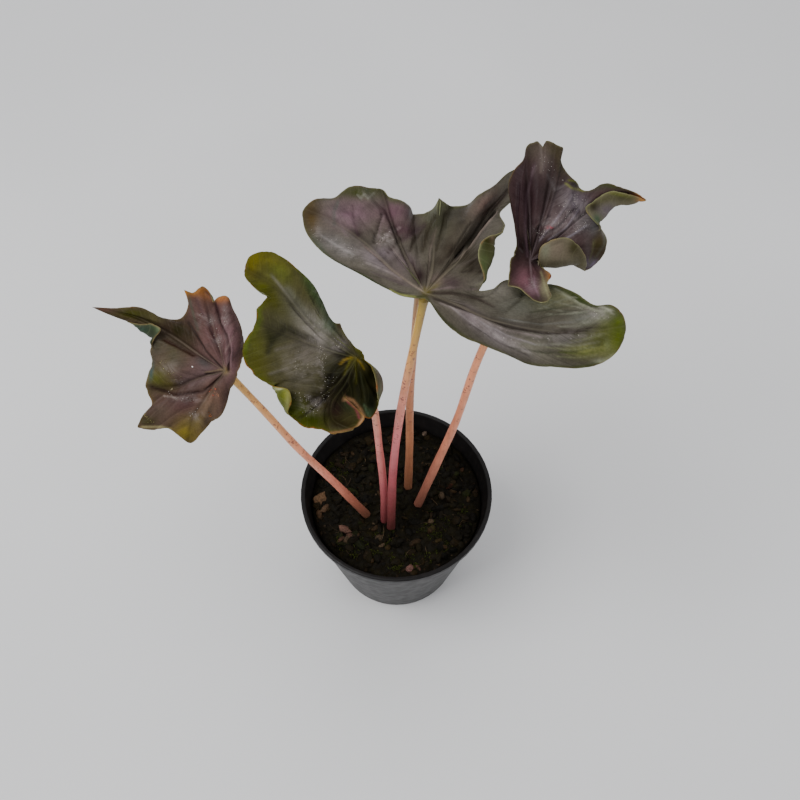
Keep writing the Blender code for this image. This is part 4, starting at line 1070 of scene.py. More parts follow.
@dataclass
class Blade:
    """One blade with its veins, quilting, rim and colours.

    Whole numbers for colours are screen colours. The silvery ovals are partly the wax's own cast and partly
    a painted sheen. Some dark patches and strokes are painted shade in folds and hollows, and some pale
    ones are painted highlights. The rings crowd towards the margin, and a sharp rib keeps little of the
    margin's slope. Widths and rooms are millimetres from a vein or from the margin, and the relief is calm
    near the node and the margin.
    """

    name: str
    leaf: Leaf
    ground: int
    margin: int
    under: int
    rim: int
    skin: BladeSkin
    patches: tuple[Patch, ...] = ()
    strokes: tuple[Stroke, ...] = ()
    bloom_and_sheen: tuple[Oval, ...] = ()
    trails: tuple[Trail, ...] = ()
    shade: float = 0.78
    column_step: float = 0.8 * MM
    ring_count: int = 46
    crowding: float = 1.25
    sharp_slope: float = 0.2
    thickness: float = 0.7 * MM
    vein_bulge: float = 0.9 * MM
    bulge_width: float = 0.8
    rim_swell: float = 0.14 * MM
    groove: float = 0.55 * MM
    groove_width: float = 0.7
    side_slant: float = 0.9
    side_bend: float = 0.012
    side_room: float = 2.0
    seam_width: float = 2.5
    vein_shift: float = 1.7
    quilting: float = 0.30 * MM
    waviness: float = 0.40 * MM
    calm_share: float = 0.22
    calm_width: float = 1.5
    margin_width: float = 2.2
    margin_share: float = 0.75
    rim_width: float = 0.6
    rim_share: float = 0.6
    scorch: int = 0x965422
    scorched: float = 0.5
    ragged: float = 0.55 * MM
    ragged_rings: int = 9
    evening: int = 3
    top: Array = field(init=False)
    laid: tuple[Array, Array] = field(init=False)

    def sheet(self) -> tuple[Array, Array, Array]:
        """Lays out the blade's middle sheet.

        Returns:
            The points as columns x rings x 3, each ring's share of the way out, and the columns with a vein.
        """
        shares = 1 - np.linspace(1, 0, self.ring_count) ** self.crowding
        leaf = self.leaf
        lines = [[leaf.centre, *(leaf.place(*point) for point in line.points)] for line in leaf.ribs]
        curves = np.array([along(line, shares) for line in lines])
        margin = curves[:, -1]
        gaps = np.linalg.norm(np.roll(margin, -1, axis=0) - margin, axis=1)
        knots = np.concatenate([[0], np.cumsum(gaps)])
        stops = []
        veins = []
        for index, gap in enumerate(gaps):
            if leaf.ribs[index].vein:
                veins.append(len(stops))
            pieces = max(2, round(gap / self.column_step))
            stops.extend(knots[index] + gap * piece / pieces for piece in range(pieces))
        wrapped = np.concatenate([curves, curves[:1]])
        around = np.concatenate([curves[-1:], wrapped, curves[1:2]])
        wide = np.concatenate([[-gaps[-1]], knots, [knots[-1] + gaps[0]]])
        slack = np.c_[[self.sharp_slope if line.sharp else 1.0 for line in (*leaf.ribs, leaf.ribs[0])]]
        columns = [
            hermite(wrapped[:, ring], knots, slopes(around[:, ring], wide)[1:-1] * slack, stops)
            for ring in range(len(shares))
        ]
        points = np.array(columns).transpose(1, 0, 2)
        edge = points[:, -1]
        bite = self.ragged * np.clip(ripple(edge, 300, 2.0) + 0.6 * ripple(edge, 700, 4.0), 0, 1)
        fade = np.linspace(0, 1, self.ragged_rings + 1)[1:] ** 1.5
        outward = unit(np.gradient(points, axis=1))[:, -self.ragged_rings :]
        points[:, -self.ragged_rings :] -= outward * bite[:, None, None] * fade[None, :, None]
        return points, shares, np.array(veins)

    def normals(self, points: Array) -> Array:
        """Directions out of the upper face, evened out over their neighbours.

        Args:
            points: The sheet.

        Returns:
            One direction for each point.
        """
        up = np.array(self.leaf.up)
        around = np.roll(points, -1, axis=0) - np.roll(points, 1, axis=0)
        ways = unit(np.cross(around, np.gradient(points, axis=1)))
        ways[:, 0] = up
        ways[:, 1:4] = unit(ways[:, 1:4] + up * np.array([3.0, 1.5, 0.6])[None, :, None])
        for _ in range(self.evening):
            total = ways.copy()
            for shift, axis in ((1, 0), (-1, 0), (1, 1), (-1, 1)):
                other = np.roll(ways, shift, axis=axis)
                if axis == 1:
                    edge = 0 if shift == 1 else -1
                    other[:, edge] = ways[:, edge]
                close = np.sum(other * ways, axis=2, keepdims=True) > 0.5
                total += np.where(close, other, 0) * 0.8
            ways = unit(total)
        return ways

    def measures(self, points: Array, veins: Array) -> dict[str, Array]:
        """Distances over the sheet.

        Args:
            points: The sheet.
            veins: The columns with a vein.

        Returns:
            By name: millimetres to the nearest vein, along the side veins' slant and to the margin, and how
            clear a point is of the seams between two veins.
        """
        found = np.array([self.near_line(points, points[column]) for column in veins])
        order = np.argsort(found[:, 0], axis=0)
        first = np.take_along_axis(found[:, 0], order[:1], axis=0)[0]
        second = np.take_along_axis(found[:, 0], order[1:2], axis=0)[0]
        spot = np.take_along_axis(found[:, 1], order[:1], axis=0)[0]
        bend = self.side_slant * first + self.side_bend * first**2
        flow = spot - bend + self.vein_shift * order[0] + 0.8 * ripple(points, 90, 3.0)
        clear = np.clip((second - first) / self.seam_width, 0, 1) * np.clip(first / self.side_room, 0, 1)
        runs = np.linalg.norm(np.diff(points, axis=1), axis=2) / MM
        out = np.concatenate([np.zeros((len(points), 1)), np.cumsum(runs, axis=1)], axis=1)
        return {"vein_mm": first, "flow_mm": flow, "clear": clear, "edge_mm": out[:, -1:] - out}

    @staticmethod
    def near_line(points: Array, line: Array) -> Array:
        """Measures from points to a line.

        Args:
            points: The sheet's points.
            line: The points of the line.

        Returns:
            Each point's distance from the line, and how far along the line that is, in millimetres.
        """
        flat = points.reshape(-1, 1, 3)
        start = line[None, :-1]
        step = np.diff(line, axis=0)[None]
        long = np.sum(step**2, axis=2) + 1e-15
        share = np.clip(np.sum((flat - start) * step, axis=2) / long, 0, 1)
        gaps = np.sum((flat - start - share[..., None] * step) ** 2, axis=2)
        best = np.argmin(gaps, axis=1)
        rows = np.arange(len(flat))
        lengths = np.concatenate([[0], np.cumsum(np.sqrt(long[0]))])
        spots = lengths[best] + share[rows, best] * np.sqrt(long[0, best])
        return np.stack([np.sqrt(gaps[rows, best]), spots]).reshape(2, *points.shape[:2]) / MM

    def relief(self, points: Array, shares: Array, found: dict[str, Array]) -> Array:
        """The height of the upper face over the sheet: grooves, quilting, small waves and folds.

        Args:
            points: The sheet.
            shares: Each ring's share of the way out.
            found: The distances over the sheet.

        Returns:
            One height for each point.
        """
        inner = np.minimum(1, shares / self.calm_share) * np.minimum(1, found["edge_mm"] / self.calm_width)
        groove = -self.groove * np.exp(-((found["vein_mm"] / self.groove_width) ** 2)) * (1 - 0.6 * shares)
        phase = found["flow_mm"] / self.skin.spacing
        side = 2 * np.abs(phase - np.round(phase))
        quilt = self.quilting * (np.sin(side * np.pi / 2) - 0.6) * found["clear"]
        waves = self.waviness * (ripple(points, 75, 9.0) + 0.35 * ripple(points, 240, 5.0))
        u, v = layout(points)
        folds = sum(stroke.sunk * MM * stroke.weight(u, v) for stroke in self.strokes)
        return (groove + quilt + waves - folds) * inner

    def colours(self, points: Array, found: dict[str, Array], side: Side) -> Array:
        """The colour of one face of the blade, from its ground, its margin and its patches.

        Args:
            points: The face's points.
            found: The distances over the sheet.
            side: Which face it is.

        Returns:
            One colour for each point.
        """
        u, v = layout(points)
        edge = np.zeros(u.shape) if side is Side.RIM else found["edge_mm"]
        ground = {Side.TOP: self.ground, Side.UNDER: self.under, Side.RIM: self.rim}[side]
        tint = np.tile(np.array(paint(ground)), (*u.shape, 1))
        if side is Side.TOP:
            band = self.margin_width * (1 + 0.5 * ripple(points, 120, 7.0))
            self.blend(tint, self.margin, np.clip(1 - edge / band, 0, 1) ** 0.8 * self.margin_share)
        wander = 1 + 0.35 * ripple(points, 200)
        for patch in self.patches:
            if patch.side is side:
                weight = patch.weight(u, v) * wander
                if patch.hem:
                    weight *= np.clip(1.4 * (1 - edge / (patch.hem * wander)), 0, 1)
                self.blend(tint, patch.screen, weight)
        if side is Side.TOP:
            for stroke in self.strokes:
                self.blend(tint, stroke.screen, stroke.weight(u, v) * wander * stroke.strength)
        # The pale rim line: partly the margin's own paler colour, partly a painted highlight along the rolled
        # edge.
        rim = np.clip(1 - edge / self.rim_width, 0, 1) ** 0.6
        if side is not Side.RIM:
            self.blend(tint, self.rim, rim * self.rim_share)
        burnt = np.clip(2.2 * ripple(points, 150, 11.0) + 0.8 * ripple(points, 600, 6.0) - 0.35, 0, 1)
        self.blend(tint, self.scorch, rim * burnt * self.scorched)
        return tint * self.shade

    @staticmethod
    def blend(tint: Array, screen: int, weight: Array) -> None:
        """Brings colours nearer to another one by the given weights."""
        tint += (np.array(paint(screen)) - tint) * np.clip(weight, 0, 1)[..., None]

    def shell(self, points: Array, shares: Array, found: dict[str, Array]) -> tuple[Array, Array]:
        """Gives the sheet its thickness.

        Args:
            points: The sheet.
            shares: Each ring's share of the way out.
            found: The distances over the sheet.

        Returns:
            The body's rings, over the upper face, round the rim and back under it, and the rim's own points.
        """
        ways = self.normals(points)
        self.top = points + ways * self.relief(points, shares, found)[..., None]
        self.laid = layout(self.top)
        bulge = self.vein_bulge * np.exp(-((found["vein_mm"] / self.bulge_width) ** 2)) * (1 - shares) ** 1.2
        taper = 0.55 + 0.45 * np.minimum(1, found["edge_mm"] / 1.2)
        under = self.top - ways * (self.thickness * taper + bulge)[..., None]
        outward = unit(points[:, -1] - points[:, -2])
        middle = (self.top[:, -1:] + under[:, -1:]) / 2 + outward[:, None] * self.rim_swell
        return np.concatenate([self.top, middle, under[:, ::-1]], axis=1), middle

    def build(self) -> Piece:
        """Makes the blade as one closed body and dresses it.

        Returns:
            The piece.
        """
        points, shares, veins = self.sheet()
        found = self.measures(points, veins)
        rings, middle = self.shell(points, shares, found)
        upper = self.colours(points, found, Side.TOP)
        lower = self.colours(points, found, Side.UNDER)[:, ::-1]
        tints = np.concatenate([upper, self.colours(middle, found, Side.RIM), lower], axis=1)
        u, v = layout(points)
        # The mask of the silvery cast: partly the wax's own, partly painted sheen.
        bloom_and_sheen = np.max([np.zeros(u.shape), *(oval.weight(u, v) for oval in self.bloom_and_sheen)], axis=0)
        values = {key: found[key] for key in ("vein_mm", "flow_mm", "clear")}
        values |= {"bloom_and_sheen": bloom_and_sheen, "reach": np.tile(shares, (len(points), 1))}
        doubled = {
            key: np.concatenate([item, item[:, -1:], item[:, ::-1]], axis=1) for key, item in values.items()
        }
        mesh, tint_layer = tinted_mesh()
        layers = {key: mesh.verts.layers.float.new(key) for key in doubled}
        places = closed_tube(mesh, rings)
        for (column, ring), vert in places.items():
            vert[tint_layer] = (*tints[column % len(points), ring], 1)
            for key, layer in layers.items():
                vert[layer] = doubled[key][column % len(points), ring]
        owner = {vert: ring for (column, ring), vert in places.items()}
        for face in mesh.faces:
            face.material_index = 0 if max(owner[vert] for vert in face.verts) < self.ring_count else 1
        bmesh.ops.remove_doubles(mesh, verts=mesh.verts, dist=MERGE)
        bmesh.ops.recalc_face_normals(mesh, faces=mesh.faces)
        skins = [self.skin.build(), UnderSkin(f"{self.name}_under").build()]
        piece = finish_mesh(f"{self.name}_fine", mesh, skins)
        place_piece(piece, f"{self.name}_skin", self.name)
        return piece

    def spot(self, u: float, v: float) -> Vector:
        """The point of the built upper face that is nearest to a line of sight."""
        us, vs = self.laid
        return Vector(self.top[np.unravel_index(np.argmin((us - u) ** 2 + (vs - v) ** 2), us.shape)])


class Bits:
    """Loose bits that make one piece. Each has its own colour."""

    def __init__(self, seed: int) -> None:
        """Starts an empty mesh, with a source of chance of its own."""
        self.random = np.random.default_rng(seed)
        self.mesh, self.tint_layer = tinted_mesh()

    def grow(self, size: float, subdivisions: int = 1) -> list[bmesh.types.BMVert]:
        """Adds a plain ball in the middle, and gives its vertices."""
        return bmesh.ops.create_icosphere(self.mesh, subdivisions=subdivisions, radius=size)["verts"]

    def lay(self, verts: list[bmesh.types.BMVert], stretch: Array, turn: Matrix, spot: Vector) -> None:
        """Stretches and turns a bit, and takes it to its place.

        Args:
            verts: The bit's vertices.
            stretch: Its scale along each axis.
            turn: Its turn.
            spot: Its place.
        """
        bmesh.ops.scale(self.mesh, vec=stretch, verts=verts)
        bmesh.ops.rotate(self.mesh, matrix=turn, verts=verts)
        bmesh.ops.translate(self.mesh, vec=spot, verts=verts)

    def dye(self, verts: Iterable[bmesh.types.BMVert], shade: Array) -> None:
        """Gives vertices a linear colour."""
        for vert in verts:
            vert[self.tint_layer] = (*shade, 1)


@dataclass
class Grit:
    """Pale and reddish grains that lie on the blades, from watering and repotting."""

    seed: int = 11
    sunk: float = 0.2
    skin: PottingMix = PottingMix("leaf_grit_skin", 0.6)

    def build(self, blades: tuple[Blade, ...]) -> Piece:
        """Scatters the grains on the built blades.

        Args:
            blades: The blades.

        Returns:
            The piece.
        """
        bits = Bits(self.seed)
        random = bits.random
        for blade, trail in ((blade, trail) for blade in blades for trail in blade.trails):
            for _ in range(trail.count):
                u, v = self.pick(trail, random)
                size = trail.size * MM * random.uniform(0.6, 1.3)
                verts = bits.grow(size)
                stretch = random.uniform((0.6, 0.6, 0.6), (1.5, 1.1, 1.0))
                turn = Matrix.Rotation(tau * random.random(), 3, "Z")
                bits.lay(verts, stretch, turn, blade.spot(u, v) + blade.leaf.up * size * self.sunk)
                bits.dye(verts, np.array(paint(trail.screen)) * random.uniform(0.6, 1.1))
        piece = finish_mesh("leaf_grit", bits.mesh, [self.skin.build()], 28)
        place_piece(piece, "potting_mix")
        return piece

    @staticmethod
    def pick(trail: Trail, random: Random) -> tuple[float, float]:
        """Picks a spot of a trail.

        Args:
            trail: The trail.
            random: The source of chance.

        Returns:
            The spot's u and v.
        """
        last = len(trail.points) - 1
        share = random.random() * last
        index = min(int(share), max(last - 1, 0))
        ends = trail.points[index], trail.points[min(index + 1, last)]
        u, v = (a + (b - a) * (share - index) for a, b in zip(*ends))
        return u + random.normal() * trail.spread, v + random.normal() * trail.spread


@dataclass
class Stalk:
    """A leaf stalk, tapered, slightly flared where it meets the blade, and set in the soil.

    Its sights are lines of sight that it goes through from the foot up, and its stops are screen colours by
    share of its length.
    """

    name: str
    leaf: Leaf
    foot_y: float
    sights: Groups
    foot_radius: float
    stops: tuple[tuple[float, int], ...]
    depth: float = 11.4 * MM
    top_gap: float = 0.9 * MM
    top_radius: float = 1.45 * MM
    flare: float = 0.55 * MM
    sides: int = 24
    ring_count: int = 90

    def path(self) -> Array:
        """Lays out the stalk's middle line.

        Returns:
            Points from under the soil face to the blade.
        """
        leaf, count = self.leaf, len(self.sights)
        points = [
            on_upright(u, v, self.foot_y + (leaf.node_y - self.foot_y) * index / count)
            for index, (u, v) in enumerate(self.sights)
        ]
        curve = along([*points, leaf.centre - leaf.up * self.top_gap], np.linspace(0, 1, self.ring_count))
        root = curve[0] - unit(curve[1] - curve[0]) * self.depth
        return np.concatenate([root[None], curve])

    def build(self) -> Piece:
        """Makes the stalk and dresses it.

        Returns:
            The piece.
        """
        path = self.path()
        shares = np.clip(np.arange(-1, len(path) - 1) / (len(path) - 2), 0, 1)
        rings = []
        for index, share in enumerate(shares):
            radius = self.foot_radius + (self.top_radius - self.foot_radius) * share**0.7
            radius *= 1 + 0.05 * sin(share * 23 + self.foot_y * 900) * sin(share * 9)
            radius += self.flare * max(0, (share - 0.95) / 0.05) ** 2
            way = Vector(path[min(index + 1, len(path) - 1)]) - Vector(path[max(index - 1, 0)])
            way = way.normalized().lerp(self.leaf.up, max(0, (share - 0.93) / 0.07) ** 1.5)
            rings.append(round_ring(Vector(path[index]), way, radius, self.sides))
        knots = np.array([stop for stop, _ in self.stops])
        colours = np.array([paint(screen) for _, screen in self.stops])
        tint = np.stack([np.interp(shares, knots, colours[:, channel]) for channel in range(3)], axis=1)
        mesh, tint_layer = tinted_mesh()
        dot_layer = mesh.verts.layers.float.new("dotted")
        for (_, ring), vert in closed_tube(mesh, np.array(rings).transpose(1, 0, 2)).items():
            shade = 1 + 0.16 * noise.noise(vert.co * 160) + 0.1 * noise.noise(vert.co * 500)
            vert[tint_layer] = (*(tint[ring] * shade), 1)
            vert[dot_layer] = max(0.15, 1 - abs(shares[ring] - 0.7) * 2.2)
        close_mesh(mesh)
        piece = finish_mesh(f"{self.name}_fine", mesh, [StalkSkin(f"{self.name}_fine_skin").build()])
        place_piece(piece, f"{self.name}_skin", self.name)
        return piece


@dataclass
class Pot:
    """The thin black nursery pot."""

    node: str = "pot"
    sharp: float = 32

    def build(self) -> Piece:
        """Smooths a merged copy of the solid and dresses it.

        Returns:
            The piece.
        """
        piece = finish_mesh("pot_fine", merged_copy(self.node), [PotPlastic().build()], self.sharp)
        place_piece(piece, "pot_plastic", self.node)
        return piece


@dataclass
class Soil:
    """The bark mix: a rough face, loose crumbs, fibres and moss.

    Greens are mossy spots by u, v and spread in the layout. Lumps are bits in given spots, by u, v, radius in
    millimetres and screen colour. Shades are the crumbs' linear colours, and odds how often each is taken.
    Ranges are a least and a greatest value, in millimetres.
    """

    node: str = "soil"
    level: float = 70 * MM
    radius: float = 45 * MM
    seed: int = 5
    split_length: float = 1.0 * MM
    roughening: float = 0.5 * MM
    pit_colour: Colour = (0.0062, 0.0046, 0.0010)
    ridge_colour: Colour = (0.017, 0.013, 0.002)
    foot_room: float = 2.6 * MM
    crumb_count: int = 1000
    crumb_size: float = 0.5 * MM
    crumb_spread: float = 2.6 * MM
    shades: tuple[Colour, ...] = (
        (0.006, 0.0045, 0.001), (0.010, 0.007, 0.0015), (0.018, 0.011, 0.003), (0.032, 0.018, 0.007),
        (0.004, 0.003, 0.001), (0.070, 0.046, 0.026), (0.013, 0.015, 0.002),
    )
    odds: tuple[float, ...] = (0.24, 0.24, 0.18, 0.1, 0.14, 0.03, 0.07)
    fibre_count: int = 60
    fibre_steps: int = 9
    fibre_range: tuple[float, float] = (4, 12)
    fibre_radii: tuple[float, float] = (0.10, 0.22)
    fibre_hump: float = 0.6 * MM
    fibre_colour: Colour = (0.13, 0.085, 0.045)
    tuft_count: int = 90
    tuft_leaves: int = 14
    tuft_spread: float = 0.9
    moss_range: tuple[float, float] = (0.8, 2.2)
    moss_lean: float = 0.6
    moss_radius: float = 0.22 * MM
    moss_colour: Colour = (0.060, 0.074, 0.008)
    greens: Groups = (
        (456, 548, 12), (440, 560, 12), (398, 560, 16), (466, 520, 10), (432, 532, 9), (360, 548, 14),
        (340, 470, 10),
    )
    lumps: Groups = (
        (320, 499, 3.6, 0x70543C), (325, 509, 3.0, 0x644C38), (319, 514, 2.4, 0x543E2A),
        (345, 530, 3.2, 0x6A4C40), (351, 537, 2.4, 0x583E32), (341, 541, 1.8, 0x4E3628),
        (416, 428, 3.4, 0x7E685A), (423, 434, 2.4, 0x6C5A4C), (409, 432, 2.0, 0x624E40),
        (410, 568, 2.6, 0x74524A), (418, 567, 1.8, 0x5C4036), (330, 455, 2.2, 0x3A2816),
        (456, 552, 2.0, 0x544E28), (450, 558, 1.6, 0x48421E), (432, 530, 2.4, 0x362E14),
        (438, 541, 1.9, 0x3E3218), (450, 487, 2.2, 0x381E10), (462, 470, 1.7, 0x422A1A),
        (372, 560, 2.0, 0x3C2C18), (388, 548, 1.6, 0x342812), (468, 500, 1.5, 0x3C2E1C),
        (348, 500, 1.8, 0x402E1E), (352, 470, 1.6, 0x362A1A), (478, 520, 1.3, 0x483828),
    )
    feet: list[Vector] = field(init=False)
    surface: Piece = field(init=False)

    def build(self, stalks: tuple[Stalk, ...]) -> None:
        """Makes the soil's pieces.

        Args:
            stalks: The stalks that stand in it.
        """
        self.build_ground()
        self.feet = [Vector(stalk.path()[1]) for stalk in stalks]
        self.build_crumbs()
        self.build_fibres()
        self.build_moss()

    def build_ground(self) -> None:
        """Roughens a merged copy of the solid, whose upper face it splits first."""
        mesh = merged_copy(self.node)
        floor = self.level - 4 * MM
        upper = [
            edge for edge in mesh.edges
            if all(vert.co.z > floor for vert in edge.verts) and edge.calc_length() > self.split_length
        ]
        bmesh.ops.subdivide_edges(mesh, edges=upper, cuts=3, use_grid_fill=True)
        mesh.normal_update()
        tint_layer = mesh.verts.layers.float_color.new("tint")
        for vert in mesh.verts:
            spot = vert.co
            if spot.z > self.level - 3 * MM and spot.xy.length < self.radius - 0.6 * MM:
                vert.co += vert.normal * self.roughening * noise.noise(spot * 700)
            share = max(0, noise.noise(spot * 300))
            vert[tint_layer] = (*Vector(self.pit_colour).lerp(Vector(self.ridge_colour), share), 1)
        self.surface = finish_mesh("soil_fine", mesh, [PottingMix("potting_mix_fine").build()], 50)
        place_piece(self.surface, "potting_mix", self.node)

    def height(self, x: float, y: float) -> float:
        """The height of the soil face at a point."""
        hit, spot, _, _ = self.surface.ray_cast(Vector((x, y, 0.12)), Vector((0, 0, -1)))
        return spot.z if hit else self.level

    def random_spot(self, random: Random, room: float) -> Vector:
        """Picks a point of the soil face, clear of the pot's wall and of the stalks.

        Args:
            random: The source of chance.
            room: How clear of them it is.

        Returns:
            The point.
        """
        while True:
            reach = (self.radius - room) * random.random() ** 0.5
            angle = tau * random.random()
            spot = Vector((reach * cos(angle), reach * sin(angle)))
            if all((spot - foot.xy).length > self.foot_room + room for foot in self.feet):
                return Vector((*spot, self.height(*spot)))

    def build_crumbs(self) -> None:
        """Scatters loose crumbs and bark chips."""
        bits = Bits(self.seed)
        random = bits.random
        for _ in range(self.crumb_count):
            size = self.crumb_size + self.crumb_spread * random.random() ** 3.2
            spot = self.random_spot(random, size)
            shade = np.array(self.shades[random.choice(len(self.shades), p=self.odds)])
            self.add_lump(bits, spot, size, shade * random.uniform(0.7, 1.3))
        for u, v, size, screen in self.lumps:
            spot = on_level(u, v, self.level)
            if spot.xy.length < self.radius - size * MM:
                spot.z = self.height(spot.x, spot.y)
                self.add_lump(bits, spot, size * MM, np.array(paint(screen)))
        self.finish_bits("soil_crumbs", bits, 28)

    @staticmethod
    def add_lump(bits: Bits, spot: Vector, size: float, shade: Array) -> None:
        """Adds one angular lump of bark.

        Args:
            bits: The bits that it joins.
            spot: Where on the soil face it lies.
            size: Its rough radius.
            shade: Its linear colour.
        """
        random = bits.random
        verts = bits.grow(size, 2 if size > 1.3 * MM else 1)
        stretch = random.uniform((0.8, 0.5, 0.35), (1.3, 0.9, 0.7))
        seed = Vector(random.random(3) * 50)
        for vert in verts:
            vert.co *= 1 + 0.38 * noise.noise(vert.co * 420 + seed)
        turn = Matrix.Rotation(tau * random.random(), 3, "Z")
        tilt = Matrix.Rotation(random.normal() * 0.45, 3, "X")
        bits.lay(verts, stretch, turn @ tilt, spot + Vector((0, 0, size * 0.12)))
        bits.dye(verts, shade)

    def build_fibres(self) -> None:
        """Lays thin curved root fibres over the face."""
        bits = Bits(self.seed + 1)
        random = bits.random
        for _ in range(self.fibre_count):
            spot = self.random_spot(random, 5 * MM)
            heading = tau * random.random()
            bend = random.normal() * 1.2
            length = random.uniform(*self.fibre_range) * MM
            points = []
            for step in range(self.fibre_steps):
                hump = (0.2 + 0.9 * sin(step / (self.fibre_steps - 1) * pi)) * self.fibre_hump
                points.append(Vector((spot.x, spot.y, self.height(spot.x, spot.y) + hump)))
                heading += bend / self.fibre_steps
                spot = spot + Vector((cos(heading), sin(heading), 0)) * length / self.fibre_steps
            if max(point.xy.length for point in points) < self.radius - 1 * MM:
                shade = np.array(self.fibre_colour) * random.uniform(0.15, 1)
                self.add_thread(bits, points, random.uniform(*self.fibre_radii) * MM, shade)
        self.finish_bits("soil_fibres", bits)

    @staticmethod
    def add_thread(bits: Bits, points: list[Vector], radius: float, shade: Array) -> None:
        """Adds one thin five-sided thread, thinner at its ends.

        Args:
            bits: The bits that it joins.
            points: The points that it follows.
            radius: Its radius in the middle.
            shade: Its linear colour.
        """
        rings = []
        last = len(points) - 1
        for index, point in enumerate(points):
            way = points[min(index + 1, last)] - points[max(index - 1, 0)]
            wide = radius * (0.25 + 0.75 * sin(pi * min(max(index / last, 0.04), 0.96)))
            rings.append(round_ring(point, way, wide, 5))
        bits.dye(closed_tube(bits.mesh, np.array(rings).transpose(1, 0, 2)).values(), shade)

    def build_moss(self) -> None:
        """Sets tufts of tiny moss leaves in the green spots of the face."""
        bits = Bits(self.seed + 2)
        random = bits.random
        for index in range(self.tuft_count):
            u, v, spread = self.greens[index % len(self.greens)]
            base = on_level(u + random.normal() * spread, v + random.normal() * spread * 0.7, self.level)
            if base.xy.length > self.radius - 4 * MM:
                continue
            base.z = self.height(base.x, base.y)
            for _ in range(self.tuft_leaves):
                way = Vector((*random.normal(size=2) * self.moss_lean, 1)).normalized()
                foot = base + Vector((*random.normal(size=2) * self.tuft_spread, 0)) * MM
                length = random.uniform(*self.moss_range) * MM
                bow = Vector((0, 0, -0.3 * length))
                points = [foot + way * length * share + bow * share * share for share in (0, 0.3, 0.6, 1)]
                shade = np.array(self.moss_colour) * random.uniform(0.25, 1)
                self.add_thread(bits, points, self.moss_radius, shade)
        self.finish_bits("soil_moss", bits)

    @staticmethod
    def finish_bits(name: str, bits: Bits, angle: float = 60) -> None:
        """Dresses scattered bits of the mix.

        Args:
            name: The piece's name.
            bits: The bits.
            angle: Edges sharper than this many degrees stay sharp.
        """
        close_mesh(bits.mesh, 1e-8)
        piece = finish_mesh(name, bits.mesh, [PottingMix(f"{name}_skin", 0.8).build()], angle)
        place_piece(piece, "potting_mix")


@dataclass
class Studio:
    """A pale floor, soft lights and the camera. A panel is a light's name, place, size and power."""

    floor_size: float = 6.0
    floor_colour: Colour = (0.72, 0.72, 0.72)
    panels: tuple = (
        ("key_panel", (-0.75, -0.25, 1.35), 0.9, 17),
        ("back_panel", (0.15, 1.1, 1.5), 2.0, 9),
        ("side_panel", (1.1, -0.2, 0.9), 0.8, 3.5),
    )
    aim: Triple = (0, 0, 0.15)
    air_colour: Colour = (0.95, 0.96, 1.0)
    air_strength: float = 0.6
    film: float = 36.0

    def build(self) -> None:
        """Sets the scene round the plant."""
        self.build_floor()
        for panel in self.panels:
            self.add_light(*panel)
        world = bpy.data.worlds.new("room")
        world.use_nodes = True
        back = world.node_tree.nodes["Background"]
        back.inputs["Color"].default_value = (*self.air_colour, 1)
        back.inputs["Strength"].default_value = self.air_strength
        bpy.context.scene.world = world
        self.add_camera()

    def build_floor(self) -> None:
        """Lays the floor."""
        mesh = bmesh.new()
        bmesh.ops.create_grid(mesh, x_segments=8, y_segments=8, size=self.floor_size / 2)
        wire = Coat("floor_paint")
        tone = wire.ramp(wire.noise(3, 2), 0.3, 0.7, 0.97, 1.03)
        wire.give("Base Color", wire.mix(1.0, self.floor_colour, tone, "MULTIPLY"))
        wire.give("Roughness", 0.75)
        floor = finish_mesh("floor", mesh, [wire.material])

    def add_light(self, name: str, place: Triple, size: float, power: float) -> None:
        """Adds a soft square light that faces the plant.

        Args:
            name: The light's name.
            place: Where it is.
            size: The length of its side.
            power: Its power in watts.
        """
        lamp = bpy.data.lights.new(name, "AREA")
        lamp.size = size
        lamp.energy = power
        made = bpy.data.objects.new(name, lamp)
        made.location = place
        made.rotation_euler = (Vector(self.aim) - Vector(place)).to_track_quat("-Z", "Y").to_euler()
        bpy.context.scene.collection.objects.link(made)

    def add_camera(self) -> None:
        """Puts the camera where the layout is seen from."""
        data = bpy.data.cameras.new("camera")
        data.sensor_width = self.film
        data.lens = self.film * VIEW_FOCUS / (2 * VIEW_MIDDLE)
        data.clip_start = 0.01
        camera = bpy.data.objects.new("camera", data)
        camera.location = VIEW_FROM
        camera.rotation_euler = (radians(90) - VIEW_DOWN, 0, 0)
        bpy.context.scene.collection.objects.link(camera)
        bpy.context.scene.camera = camera


